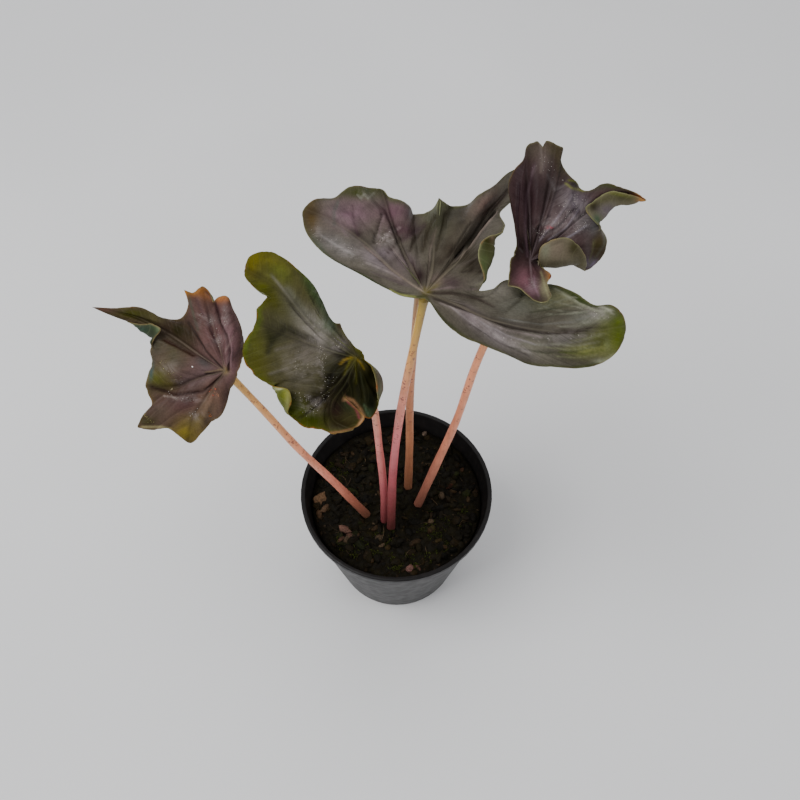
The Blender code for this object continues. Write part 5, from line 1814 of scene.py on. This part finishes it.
STALKS = (
    Stalk(
        "petiole_a", LEAF_A, -0.0095, ((366, 514), (333, 481), (300, 450), (262, 409)), 2.25 * MM,
        (
            (0.0, 0x805642), (0.15, 0xC47860), (0.35, 0xF09278), (0.6, 0xF6A270), (0.85, 0xF2B060),
            (1.0, 0xE8B854),
        ),
    ),
    Stalk(
        "petiole_b", LEAF_B, -0.0128, ((384.5, 520), (383.5, 486), (379.5, 450), (372, 400)), 2.1 * MM,
        (
            (0.0, 0x884244), (0.3, 0xC06468), (0.6, 0xEA8A7C), (0.85, 0xF6B282), (1.0, 0xE8B070),
        ),
    ),
    Stalk(
        "petiole_c", LEAF_C, -0.017, ((391, 527.5), (394, 460), (402.5, 400), (413, 350)), 2.3 * MM,
        (
            (0.0, 0x5E302E), (0.16, 0x823C3E), (0.34, 0xB8525A), (0.52, 0xE47678), (0.68, 0xF09472),
            (0.8, 0xE2A058), (0.92, 0xC69E3E), (1.0, 0x8C7620),
        ),
    ),
    Stalk(
        "petiole_d", LEAF_D, -0.0037, ((418, 504), (436, 465), (454, 426), (483, 348), (508, 299)), 2.35 * MM,
        (
            (0.0, 0x986250), (0.2, 0xC88068), (0.45, 0xEE946C), (0.7, 0xF8A070), (1.0, 0xC49858),
        ),
    ),
    Stalk(
        "petiole_e", LEAF_E, 0.0064, ((408, 487), (409.5, 446), (410, 400), (413.5, 350)), 2.25 * MM,
        (
            (0.0, 0x96664A), (0.3, 0xC2825C), (0.7, 0xD68E62), (1.0, 0x967642),
        ),
    ),
)

# Dark brown and near-black for painted shade in creases, hollows and under flaps.
CREASE_SHADE = 0x1E1410
SHADE_BLACK = 0x0C0804
RED = 0xD47458
CHALK = 0xD6CEC4

BLADE_A = Blade(
    "leaf_a", LEAF_A, ground=0x5E4841, margin=0x605033, under=0x58644D, rim=0x8C7A4C,
    skin=BladeSkin("leaf_a_top", vein_colour=paint(0x746657)),
    rim_share=0.4, ragged=0.7 * MM,
    patches=patches(
        # The pale purple-grey band at 232, 345 is a painted highlight.
        Side.TOP, (212, 330, 22, 34, 0x6C4C49, 85), (232, 345, 9, 34, 0x805E63, 80),
        (196, 289, 15, 6, 0xC47A22, 95), (186, 291, 5, 5, 0xC47E1E, 80), (206, 291, 5, 8, 0xAA6E3C, 70),
        (221, 297, 11, 5, 0xB87038, 90), (132, 314, 28, 7, 0x42420A, 97), (104, 309, 8, 3, 0x6C4C3F, 80),
        (126, 319, 12, 1.6, 0x32280E, 50), (152, 320, 14, 7, 0x58542F, 90), (176, 330, 16, 13, 0x2C260C, 95),
        (190, 338, 8, 12, 0x3A301E, 80), (158, 344, 8, 12, 0x4E503B, 70), (158, 378, 13, 12, 0x5C5E22, 90),
        (170, 384, 8, 6, 0x5A541A, 80), (152, 372, 3, 12, 0x3A6067, 70, 0, 2.5),
        (172, 362, 14, 10, 0x5C503D, 70), (174, 352, 13, 11, 0x4C4830, 75), (204, 372, 14, 8, 0x705A5B, 70),
        (203, 362, 8, 5, 0x424645, 70, 25), (192, 380, 16, 8, 0x705A57, 80), (190, 406, 20, 9, 0x583A3B, 75),
        (212, 398, 10, 14, 0x846253, 80), (208, 408, 11, 12, 0x846C57, 80), (186, 432, 14, 12, 0x8C7A28, 95),
        (196, 422, 10, 9, 0x78683D, 85), (148, 421, 10, 6, 0x42401E, 90), (160, 412, 12, 8, 0x5C4E3F, 60),
        (225, 371, 4, 4, 0x8C7846, 70),
    ) + patches(
        Side.UNDER, (160, 430, 16, 5, 0xAAA482, 90), (152, 331, 20, 12, 0x2C3C22, 100),
        (142, 328, 8, 3, 0x1E4234, 60), (161, 326, 4, 7, 0x7C8E67, 70),
    ) + patches(
        # The pale tan rim at the bottom tip is partly its own colour and partly painted highlights.
        Side.RIM, (156, 428, 22, 4, 0xC4B882, 90),
    ),
    strokes=strokes(
        # Dark strokes sunk along creases and at the node are painted shade; pale ones raised beside them are
        # painted highlights.
        (1.9, 0x341C10, 85, 0.7, 163, 339, 181, 348, 194, 355),
        (1.6, 0x301A18, 80, 0.7, 152, 388, 177, 394, 203, 392, 222, 376),
        (1.1, SHADE_BLACK, 70, 0.3, 206, 374, 215, 374, 224, 371),
        (0.8, 0x968260, 50, 0, 205, 372, 214, 371, 223, 369),
        (1.6, 0x2C181A, 80, 0.6, 228, 370, 229, 351, 226, 335, 219, 322, 214, 304),
        (1.1, 0x886C6F, 60, -0.25, 231, 366, 232, 350, 229, 336, 223, 324),
        (1.0, CREASE_SHADE, 75, 0.3, 223, 369, 206, 351, 196, 334, 188, 322),
        (1.0, 0x7E605F, 50, 0, 221, 362, 212, 345, 205, 328),
        (1.0, 0x745C5B, 50, 0, 222, 373, 206, 378, 190, 386),
        (1.2, 0x7E664F, 50, 0, 216, 384, 204, 404, 192, 420),
        (0.8, 0x967E78, 50, 0, 233, 336, 228, 345, 225, 352),
        (1.4, 0x4E5645, 50, 0, 188, 292, 192, 310, 198, 330),
        # Partly the bottom tip's own pale tan rim and partly painted highlights on it.
        (1.2, 0xB0A474, 85, 0, 142, 427, 152, 427, 162, 427, 170, 429),
        (1.2, 0x5A4245, 50, 0.3, 196, 298, 204, 316, 214, 336, 220, 352),
        (1.4, 0x463033, 60, 0.3, 206, 292, 214, 300, 220, 316),
        # Faint pale dashes: painted glints.
        (0.8, 0x96847E, 45, 0, 197, 314, 205, 318, 213, 325),
        (0.7, 0xB0A096, 60, 0, 164, 396, 172, 397, 178, 399),
    ),
    # Where the face looks silvery: partly the wax's own cast, partly painted sheen.
    bloom_and_sheen=(
        Oval(207, 320, 8, 5, 0.9), Oval(216, 338, 7, 6, 0.8), Oval(190, 399, 12, 4, 0.8),
        Oval(170, 368, 10, 7, 0.5), Oval(178, 381, 7, 3, 0.8), Oval(196, 416, 7, 5, 0.8),
        Oval(225, 318, 4, 9, 0.9),
    ),
    trails=trails(
        (1, 0, 0.62, 0xFFFAF6, 192.4, 366.3), (16, 0.8, 0.13, CHALK, 199, 313, 206, 318, 214, 324),
        (12, 1.6, 0.12, CHALK, 216, 330, 222, 346), (16, 2.4, 0.12, 0xC4C478, 162, 362, 168, 372, 182, 381),
        (2, 0.4, 0.2, 0xFFF0C8, 171.5, 389), (8, 0.8, 0.14, CHALK, 168, 393, 177, 398),
        (10, 1.0, 0.15, CHALK, 188, 398, 193, 401), (10, 0.9, 0.14, CHALK, 190, 416, 198, 410),
        (12, 1.2, 0.14, 0xDCD282, 144, 415, 151, 422), (14, 0.7, 0.22, RED, 209, 391, 216, 389, 213, 395),
        (8, 0.3, 0.18, 0xE2A078, 212, 390, 219, 396), (6, 0.5, 0.26, 0xDC8242, 209.5, 413, 210.5, 417),
    ),
)

BLADE_B = Blade(
    "leaf_b", LEAF_B, ground=0x4C4828, margin=0x545808, under=0x747A3E, rim=0x807028,
    skin=BladeSkin(
        "leaf_b_top", vein_colour=paint(0x64643E), cloud_colour=paint(0x161806), vein_share=0.16, shine=0.04,
    ),
    quilting=0.16 * MM, margin_width=3.2, scorch=0xB05C1E, scorched=0.8, rim_share=0.4, ragged=0.9 * MM,
    patches=patches(
        Side.TOP, (254, 264, 15, 13, 0x685E00, 97), (272, 262, 16, 7, 0x6E6614, 85, 25),
        (268, 276, 16, 9, 0x5C5A28, 80, 40), (280, 272, 14, 10, 0x5C6222, 80, 40),
        (262, 288, 12, 6, 0x525600, 90, 20), (272, 300, 20, 10, 0x444400, 90, 30),
        (280, 330, 20, 16, 0x42402E, 90), (270, 336, 6, 10, 0x282816, 80),
        (292, 305, 8, 18, 0x5A584A, 70, -35), (320, 300, 6, 26, 0x3E5434, 85, -25),
        # The pale grey oval at 317, 334 is a painted sheen.
        (311, 286, 5, 14, 0x465C2C, 70, -30), (317, 334, 13, 22, 0x989288, 90, -35),
        (306, 352, 18, 18, 0x625A50, 80), (300, 378, 20, 18, 0x5C5646, 80), (256, 372, 13, 24, 0x4C4A14, 90),
        (252, 345, 12, 18, 0x4C4E0E, 90), (246, 345, 4, 14, 0x627414, 80, 0, 3.0),
        (258, 318, 6, 20, 0x505C1A, 80, 0, 3.5), (262, 380, 14, 10, 0x525416, 90, 30, 5.0),
        (297, 412, 14, 12, 0x505C04, 90), (312, 420, 20, 7, 0x3A4202, 90), (316, 398, 14, 10, 0x2C261C, 80),
        (336, 408, 12, 14, 0x2E1E18, 85), (345, 425, 16, 6, 0x261C04, 92),
        # The near-black ovals here and two rows down are painted shade in the cupped hollow and on the steep
        # right half.
        (335, 376, 15, 24, 0x060501, 100, 15), (342, 356, 10, 7, SHADE_BLACK, 95, 20),
        (351, 362, 9, 5, 0x504600, 85, -20), (359, 363, 6, 5, 0x5C5418, 80, 50),
        (363, 380, 14, 28, 0x181802, 97), (346, 386, 9, 22, 0x080700, 100), (370, 402, 8, 14, 0x0E1103, 95),
        (368, 413, 5, 4, 0x405A3E, 80), (352, 405, 8, 6, 0x2E3A24, 80), (339, 326, 4, 5, 0x40221C, 95),
        (330, 326, 7, 10, 0x465842, 70, -45), (341, 344, 8, 8, 0x605A54, 80),
    ) + patches(
        Side.UNDER, (284, 397, 7, 16, 0x545C00, 95), (287, 394, 3, 5, 0x7E821E, 80),
        # The near-white dot at 280, 386 is a painted highlight on the curl.
        (290, 404, 2.5, 7, 0x3C4200, 80), (280, 386, 4, 3, 0xE6E8B4, 90), (289, 400, 2.5, 12, 0x969650, 70),
        (377, 388, 5, 20, 0x5C6048, 95), (379, 374, 4, 7, 0x58423E, 90), (383, 390, 2.2, 16, 0x704A5C, 90),
    ) + patches(
        Side.RIM, (350, 404, 14, 10, 0xBA865C, 100), (330, 432, 30, 6, 0xA06E50, 100),
        (376, 390, 4, 22, 0x96966E, 100),
    ),
    strokes=strokes(
        # Dark strokes sunk along folds are painted shade, and pale ones raised beside them painted
        # highlights.
        (1.6, 0x868272, 60, 0.4, 272, 276, 286, 293, 302, 313, 318, 334, 332, 345),
        (4.0, 0x686858, 50, 0, 288, 290, 304, 311, 320, 331),
        (3.4, 0x242216, 60, 0.6, 316, 340, 300, 334, 284, 326),
        (2.0, 0x605A4E, 60, -0.3, 322, 350, 300, 344, 276, 350),
        (3.0, 0x222214, 70, 0.5, 282, 330, 272, 340, 268, 352),
        (1.4, 0x706A5C, 60, -0.2, 318, 362, 294, 366, 270, 374),
        (1.6, 0x464232, 50, 0.4, 316, 372, 296, 380, 276, 392),
        # Near-black strokes by the node and down the steep right half: painted shade.
        (2.6, SHADE_BLACK, 80, 0.7, 346, 362, 336, 366, 329, 380, 325, 400),
        (1.3, 0x1C180E, 70, 0.6, 345, 370, 334, 390, 318, 406, 300, 418),
        (0.8, 0x2C281C, 40, -0.2, 346, 366, 338, 384, 330, 396),
        (1.2, 0x886E16, 75, 0.2, 352, 357, 344, 360, 340, 364),
        (1.2, 0x605C14, 70, 0.2, 351, 359, 347, 367, 344, 374),
        (1.2, 0x786416, 65, 0.2, 355, 358, 360, 362, 364, 369),
        # More near-black painted shade by the node and on the right half.
        (1.6, 0x1C1A0A, 70, 0, 352, 354, 346, 352, 340, 350),
        (1.4, 0x080801, 70, 0, 356, 368, 360, 384, 361, 398),
        (1.2, 0x080801, 60, 0, 351, 372, 352, 388, 353, 398),
        (1.2, 0x46440E, 80, 0.3, 354, 360, 356, 370, 356, 384),
        (0.8, 0x3C3822, 55, 0.2, 352, 362, 349, 376, 348, 392),
        (0.9, 0x3C3E28, 70, 0.2, 360, 372, 364, 392, 366, 408),
        (1.7, 0xC49268, 95, 0, 345, 398, 353, 401, 360, 409, 364, 417, 358, 427),
        (1.3, 0x96464E, 80, 0, 348, 402, 356, 409, 359, 418),
        (1.3, 0x966848, 85, 0, 358, 427, 340, 432, 322, 434, 304, 431),
        (1.0, 0x607454, 80, 0, 364, 405, 367, 412, 370, 417),
    ),
    # Where the face looks silvery: partly the wax's own cast, partly painted sheen.
    bloom_and_sheen=(
        Oval(318, 332, 10, 20, 0.8, -35), Oval(300, 366, 16, 14, 0.5), Oval(337, 345, 7, 6, 1.0),
        Oval(319, 372, 4, 20, 0.8), Oval(310, 404, 12, 8, 0.8), Oval(320, 296, 4, 18, 0.5, -25),
    ),
    trails=trails(
        (44, 1.5, 0.12, CHALK, 320, 346, 322, 360, 325, 385), (12, 1.6, 0.14, CHALK, 336, 337, 341, 346),
        (30, 2.6, 0.11, CHALK, 334, 376, 326, 394, 312, 410), (34, 3.0, 0.12, CHALK, 296, 398, 318, 402),
        (14, 1.6, 0.12, CHALK, 300, 408, 316, 414),
    ),
)

BLADE_C = Blade(
    "leaf_c", LEAF_C, ground=0x5D574B, margin=0x484C22, under=0x646945, rim=0x8C875F,
    skin=BladeSkin("leaf_c_top", vein_colour=paint(0x847B67), vein_share=0.25, side_share=0.05),
    quilting=0.2 * MM, side_slant=2.4, ragged=0.45 * MM, margin_width=2.8, rim_share=0.45,
    patches=patches(
        Side.TOP, (350, 214, 24, 16, 0x80636D, 85), (395, 212, 20, 12, 0x6C4D57, 90),
        (404, 230, 16, 9, 0x563B43, 90), (310, 218, 9, 20, 0x544016, 90),
        (320, 246, 10, 16, 0x464F37, 90, -20, 6.0), (360, 274, 50, 12, 0x323E24, 95, 32, 4.5),
        (362, 192, 26, 6, 0x3E421C, 95), (394, 198, 14, 6, 0x4E4F37, 80, 20, 4.0),
        # The pale grey-lilacs at 338, 246, 374, 260 and 384, 252 are painted sheen.
        (338, 246, 22, 11, 0x6A6561, 85, 25), (374, 260, 18, 6, 0x887B7F, 75, 38),
        (384, 252, 14, 10, 0x74676B, 70), (357, 233, 6, 4, 0x302222, 85), (392, 230, 6, 3, 0x322222, 80),
        # The dark oval at 420, 275 is a painted shadow by the node.
        (420, 275, 7, 9, 0x281616, 95), (404, 262, 12, 10, 0x66555B, 75),
        (398, 276, 12, 5, 0x786765, 80, 38), (434, 222, 14, 16, 0x52533D, 85),
        (438, 205, 8, 7, 0x6A6D4D, 80), (428, 240, 10, 12, 0x4A4339, 70), (462, 218, 8, 12, 0x262214, 80),
        (448, 250, 8, 24, 0x382E22, 75, 30), (480, 230, 9, 18, 0x58514D, 75, 35),
        (470, 262, 12, 16, 0x362E22, 85), (484, 204, 18, 8, 0x6C554D, 80, -40),
        (500, 192, 14, 5, 0x463C1A, 80, -40, 3.0), (500, 222, 5, 10, 0x60594F, 80),
        (450, 282, 16, 6, 0x463339, 80, 10), (438, 280, 8, 6, 0x78695F, 80),
        # The pale greys on the right lobe, at 500, 290, 552, 298, 588, 318 and 604, 313, are painted sheen.
        (500, 290, 20, 9, 0xA49D8F, 85, 10), (520, 305, 24, 12, 0x6A695F, 85),
        (552, 298, 20, 10, 0x94956D, 85), (575, 300, 36, 9, 0x303E0C, 95, 25, 5.0),
        (588, 318, 18, 9, 0x78796B, 85), (604, 313, 8, 6, 0x8C8D7B, 80), (617, 330, 9, 22, 0x586800, 98),
        (604, 338, 14, 15, 0x646C0E, 92), (588, 350, 20, 8, 0x90934D, 90),
        # The pale hem at 604, 356 is a painted highlight along the edge.
        (560, 360, 46, 6, 0x384612, 95, 6, 3.5), (604, 356, 14, 4, 0x9A9979, 80, 0, 2.0),
        # The pale grey-lilac band, from 470, 316 to 535, 350, is painted sheen.
        (500, 338, 24, 8, 0x928787, 90, 32), (470, 316, 16, 7, 0x948587, 85, 38),
        (535, 350, 22, 7, 0x86816F, 85, 16), (520, 328, 14, 5, 0x6C6561, 70, 20),
        (555, 337, 26, 6, 0x625F55, 80, 5), (445, 322, 20, 7, 0x383C26, 85, 45, 3.5),
        # The pale spots at 607, 344 and 600, 361 are painted highlights.
        (607, 344, 3, 5, 0x969E6A, 60), (600, 361, 7, 2.5, 0xB0B296, 60),
        (522, 292, 10, 5, 0x565842, 70, 20), (427, 291, 5, 4.5, 0x5C5000, 97),
        (433, 287, 7, 3, 0x7A6F3D, 70, -35),
    ) + patches(
        Side.UNDER, (487, 246, 9, 22, 0x2E2E00, 97), (482, 266, 5, 12, 0x586737, 90),
        (491, 236, 3, 8, 0x604B3D, 80),
    ) + patches(
        Side.RIM, (483, 250, 7, 26, 0xAEB37B, 100),
    ),
    strokes=strokes(
        # Dark strokes sunk along folds and creases are painted shade, and pale ones raised beside them
        # painted highlights.
        (1.1, 0x968379, 70, 0.5, 421, 290, 411, 284, 388, 266, 363, 244),
        (1.4, 0x80756F, 50, 0.3, 363, 244, 345, 231, 325, 219),
        (1.0, 0x8A7B75, 60, 0.4, 422, 287, 411, 272, 393, 249),
        (1.6, CREASE_SHADE, 75, 0.7, 382, 214, 377, 226, 373, 241),
        (1.3, 0x826D6F, 50, -0.3, 384, 216, 380, 228, 378, 238),
        (0.9, 0xA4918F, 50, 0.3, 377, 245, 391, 231, 400, 228),
        (1.6, 0x3A2C28, 60, 0.5, 388, 252, 398, 241, 404, 236),
        (1.3, 0x4E393F, 60, 0.5, 352, 206, 354, 222, 358, 236),
        (1.2, 0x846F73, 50, 0, 346, 236, 340, 222, 334, 210),
        (1.6, 0x5C6159, 60, 0.4, 338, 202, 334, 212, 334, 224),
        (1.0, 0x9A9B8D, 35, -0.2, 358, 195, 361, 199, 364, 194, 368, 199, 374, 193),
        (1.3, 0x7E7165, 60, 0.4, 427, 287, 429, 270, 430, 250, 436, 228),
        (2.2, 0x302818, 65, 0.5, 422, 250, 426, 232, 434, 218),
        (1.8, 0x342A20, 60, 0.4, 410, 250, 416, 238, 424, 226),
        (1.8, 0x322C1A, 60, 0.5, 436, 250, 442, 232, 446, 214),
        (1.3, 0x7C6F5F, 60, 0.4, 430, 288, 442, 276, 455, 258),
        (1.2, 0x18120E, 90, 0.9, 455, 258, 468, 244, 478, 231, 495, 212),
        (0.9, 0x96857B, 75, -0.3, 458, 259, 471, 245, 481, 232, 497, 212),
        (1.8, 0x241C14, 60, 0.6, 448, 256, 460, 240, 470, 224),
        (1.0, 0x7E6D6B, 60, 0.3, 431, 290, 450, 287, 480, 290),
        (1.6, 0x362824, 65, 0.5, 434, 293, 452, 293, 478, 298, 494, 306),
        (1.8, 0x2C221C, 85, 0.7, 434, 298, 474, 312, 509, 326, 546, 333, 578, 331, 599, 324),
        (1.2, 0x8C7F7B, 60, -0.2, 440, 303, 474, 317, 506, 330, 540, 337),
        (1.0, 0x7A7973, 60, -0.2, 500, 318, 540, 325, 572, 322, 596, 314),
        (1.4, 0x3A362A, 60, 0.5, 505, 312, 520, 300, 526, 286),
        (1.2, 0x464537, 60, 0.4, 540, 318, 560, 312, 584, 308),
        (1.2, 0xA0A189, 75, -0.4, 555, 289, 578, 303, 600, 312, 613, 310),
        (1.4, 0x38441A, 70, 0.3, 560, 284, 580, 297, 598, 306),
        (1.0, 0x828173, 55, 0, 520, 344, 550, 345, 580, 341, 602, 334),
        (1.0, 0x4A4F37, 55, 0.3, 510, 348, 545, 353, 575, 352, 600, 345),
        # The fine pale strokes on the right lobe are painted highlights.
        (0.7, 0x969884, 55, 0, 536, 296, 560, 303, 584, 308),
        (0.7, 0x8E907E, 50, 0, 530, 302, 556, 310, 582, 313),
        (0.8, 0x9C9C8C, 50, 0, 560, 327, 580, 325, 600, 318),
        (0.7, 0x929670, 60, 0, 545, 347, 570, 350, 594, 347),
        (0.7, 0x969A70, 50, 0, 556, 356, 578, 358, 598, 355),
        # Painted sheen on the lower band of the right lobe.
        (0.8, 0x9E9492, 50, 0, 450, 306, 470, 322, 492, 338),
        (1.6, 0xAAA09C, 45, 0, 494, 334, 512, 346, 530, 352),
        # A painted highlight.
        (1.0, 0xB2B29C, 70, 0, 600, 306, 608, 309, 614, 314),
        # Painted sheen on the left lobe.
        (1.4, 0x96908C, 50, 0, 322, 236, 334, 244, 352, 254),
        (1.2, 0x928682, 45, 0, 366, 262, 384, 270, 402, 279),
        (1.3, 0x8E9153, 90, 0, 391, 290, 400, 295, 415, 297),
        (2.4, 0x342222, 60, 0.5, 420, 284, 414, 272, 412, 262),
        (2.4, 0x402F33, 60, 0.3, 402, 240, 414, 232, 424, 224),
        (2.6, 0x2C221A, 40, 0.2, 440, 262, 456, 250, 466, 240),
        (1.6, 0x5A5149, 60, -0.3, 456, 268, 470, 262, 478, 258),
        (1.2, 0x281E18, 60, 0.4, 462, 272, 474, 270, 484, 272),
        (1.6, 0x4A3735, 60, 0.3, 484, 214, 498, 203, 508, 190),
        (1.6, 0x584B4D, 50, 0.3, 372, 272, 392, 280, 410, 286),
        # The fine pale strokes here are painted highlights, and the dark sunk ones beside them painted shade.
        (0.9, 0x9A9B85, 55, -0.2, 540, 308, 562, 300, 576, 297),
        (0.9, 0x424733, 55, 0.3, 530, 312, 556, 308, 578, 304),
        (0.9, 0x90937F, 50, -0.2, 548, 314, 572, 314, 590, 311),
        (1.0, 0x5E5553, 50, 0.3, 470, 325, 500, 344, 528, 356),
        (1.0, 0xA09797, 50, -0.2, 480, 322, 508, 336, 534, 344),
        (0.9, 0x9A9B83, 50, 0, 550, 344, 576, 346, 598, 342),
        (0.8, 0x546020, 60, 0, 560, 352, 584, 354, 604, 350),
        (0.9, 0x3C421C, 60, 0.3, 575, 336, 596, 330, 608, 326),
        (0.9, 0x848951, 50, 0, 572, 341, 594, 337, 608, 333),
    ),
    # Where the face looks silvery: partly the wax's own cast, partly painted sheen.
    bloom_and_sheen=(
        Oval(386, 238, 8, 7, 1.0), Oval(505, 338, 34, 7, 0.9, 30), Oval(345, 250, 24, 7, 0.7, 30),
        Oval(366, 193, 10, 3, 0.5), Oval(560, 338, 34, 7, 0.7, -4), Oval(596, 314, 14, 6, 0.9),
        Oval(318, 232, 4, 7, 0.7),
    ),
    trails=trails(
        (18, 0.8, 0.1, CHALK, 377, 245, 391, 231), (10, 0.8, 0.12, CHALK, 312, 232, 322, 242),
        (6, 0.5, 0.14, 0xDAD3A1, 494, 262, 492, 272),
    ),
)

BLADE_D = Blade(
    "leaf_d", LEAF_D, ground=0x483634, margin=0x50462E, under=0x746E56, rim=0x928E60,
    skin=BladeSkin("leaf_d_top", vein_colour=paint(0x746466), cloud_colour=paint(0x1E1214), side_share=0.02),
    quilting=0.1 * MM, groove=0.22 * MM, rim_width=0.5, rim_share=0.3, scorched=0.25, ragged=0.6 * MM,
    patches=patches(
        Side.TOP, (530, 150, 10, 10, 0x625848, 90), (554, 150, 12, 10, 0x544C30, 85),
        (543, 160, 9, 15, 0x6C605A, 80), (562, 166, 6, 12, 0x46422C, 80), (520, 190, 10, 40, 0x322024, 85),
        # The pale purple-greys at 576, 204 and 562, 220 are painted sheen.
        (535, 200, 14, 34, 0x38262A, 85), (552, 188, 14, 18, 0x3C3230, 80), (576, 204, 12, 18, 0x6E646C, 90),
        (562, 220, 16, 12, 0x7A6A6A, 85), (584, 222, 8, 12, 0x5A5454, 80),
        # Painted shade: the near-black at 524, 246 in the fold by the node, and at 537, 262 under the rolled
        # flap.
        (549, 227.5, 4, 1.6, 0xB0686E, 80), (524, 246, 13, 13, 0x160B08, 97), (537, 262, 9, 5, SHADE_BLACK, 97),
        (545, 250, 8, 10, 0x3A2E2A, 80), (516, 268, 7, 12, 0x402C2C, 80), (527, 280, 11, 12, 0x764E56, 90),
        (534, 290, 6, 7, 0x885C6C, 85), (545, 290, 6, 12, 0x7C765C, 90), (549, 272, 4, 8, 0xAA8054, 85),
        (551, 278, 2.2, 6, 0xCE7432, 90), (576, 184.5, 6, 4, 0x0E0C01, 100, 20),
        (597, 186, 14, 5, 0x4A4838, 80), (612, 186, 16, 3, 0x3A3E22, 80, 12),
        (594, 228, 6, 10, 0x5C5C5C, 80), (597, 246, 6, 14, 0x4A4222, 95, 12),
        (588, 250, 4, 14, 0x584C4A, 85), (592, 264, 8, 5, 0x807488, 85),
        (604, 226, 3, 14, 0x7C7876, 80, 0, 2.0), (640, 196, 7, 4, 0xC88250, 90),
    ) + patches(
        # The near-black at 529, 242 is painted shade in the fold by the node.
        Side.UNDER, (529, 242, 6, 16, 0x201410, 100), (556, 250, 16, 12, 0x847664, 95),
        (545, 248, 5, 12, 0x84846C, 80), (574, 246, 7, 10, 0x484224, 90, 20),
        (581, 256, 4, 10, 0x5A5438, 80), (560, 262, 16, 3, 0x544E3C, 70),
        (593, 205, 6, 7, 0x2C260E, 92, -35), (606, 210, 9, 8, 0x70646C, 85, -35),
        (606, 198, 12, 4, 0x58542E, 85, -20), (624, 197, 12, 4, 0x4E4820, 90),
        (616, 193, 16, 2.0, 0x686C22, 80, 10), (643, 199, 6, 3, 0xD68C32, 95),
        (596, 219, 4, 5, 0x465C42, 90),
    ) + patches(
        # The near-black at 529, 242 is painted shade in the fold by the node.
        Side.RIM, (529, 242, 7, 18, 0x1A0E0A, 100), (600, 205, 26, 22, 0x8A925C, 100),
        (640, 198, 10, 5, 0xCE8446, 100),
    ),
    strokes=strokes(
        # Dark strokes sunk along folds are painted shade, and pale ones raised beside them painted
        # highlights.
        (1.6, 0x624C54, 50, 0.3, 527, 256, 525, 225, 527, 195, 534, 165),
        (1.8, 0x2E1E22, 40, 0.3, 530, 256, 529, 225, 531, 196),
        (1.6, 0x2A1A20, 60, 0.5, 518, 245, 517, 215, 519, 185),
        (1.8, 0x362A2E, 45, 0.3, 534, 250, 546, 222, 556, 195, 566, 178),
        (1.3, 0x645C5C, 60, 0, 548, 175, 555, 190, 566, 184),
        (1.2, 0x2E2022, 70, 0.3, 535, 232, 543, 220, 550, 216),
        (0.9, 0x84706C, 50, -0.2, 536, 226, 541, 222, 546, 217),
        # The pale silvery streaks here and in the next two rows are painted highlights.
        (1.2, 0x8E828A, 60, -0.2, 540, 240, 556, 220, 568, 204, 572, 196),
        (1.0, 0x887E88, 60, -0.2, 548, 240, 566, 228, 576, 214, 582, 204),
        (1.0, 0x8A848E, 60, -0.2, 556, 244, 574, 234, 586, 226),
        (1.4, 0x463A40, 50, 0.4, 544, 236, 560, 226, 574, 210),
        (1.1, 0x787A38, 90, 0, 566, 183, 573, 188, 583, 191),
        (1.1, 0x646822, 90, 0, 569, 180, 576, 181, 581, 187),
        (1.6, 0x70645C, 60, 0, 541, 146, 542, 158, 541, 172),
        (1.1, 0x606050, 60, 0, 606, 232, 604, 245, 596, 256, 588, 266),
        (0.9, 0x6E6E48, 50, 0, 594, 240, 592, 252, 589, 262),
        (1.3, 0x96926C, 60, 0, 541, 272, 545, 286, 549, 298),
        (1.1, 0x967080, 50, 0, 534, 276, 535, 288, 539, 296),
    ),
    # Where the face looks silvery: partly the wax's own cast, partly painted sheen.
    bloom_and_sheen=(
        Oval(572, 212, 14, 20, 1.0), Oval(552, 226, 14, 9, 0.9), Oval(532, 286, 6, 7, 0.7),
    ),
    trails=trails(
        (60, 4.0, 0.11, CHALK, 560, 222, 570, 208, 578, 198), (26, 2.0, 0.11, CHALK, 575, 232, 586, 224),
        (18, 3.0, 0.12, CHALK, 534, 232, 545, 236), (8, 0.5, 0.2, 0xE6828C, 546, 227.5, 552, 228),
        (14, 5.0, 0.12, CHALK, 537, 162, 556, 176), (6, 0.6, 0.3, 0x783228, 551, 274, 553, 280),
    ),
)

BLADE_E = Blade(
    "leaf_e", LEAF_E, ground=0x4E4A36, margin=0x565832, under=0x6C764E, rim=0x827C50,
    skin=BladeSkin("leaf_e_top"),
    patches=patches(
        Side.TOP, (419, 284, 8, 8, 0x786E3C, 60), (405, 270, 20, 14, 0x5C4C42, 60),
    ),
    strokes=strokes(
        (1.4, 0x786E54, 50, 0.4, 419, 284, 412, 272, 402, 262),
    ),
    # Where the face looks silvery: partly the wax's own cast, partly painted sheen.
    bloom_and_sheen=(
        Oval(419, 284, 20, 20, 0.5),
    ),
)

BLADES = (BLADE_A, BLADE_B, BLADE_C, BLADE_D, BLADE_E)


def main() -> None:
    """Builds the plant's sub-assemblies in order and sets the scene."""
    logging.basicConfig(level=logging.INFO, format="%(name)s: %(message)s")
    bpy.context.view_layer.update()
    Pot().build()
    for stalk in STALKS:
        stalk.build()
    Soil().build(STALKS)
    for blade in BLADES:
        blade.build()
    Grit().build(BLADES)
    Studio().build()


if __name__ == "__main__":
    main()
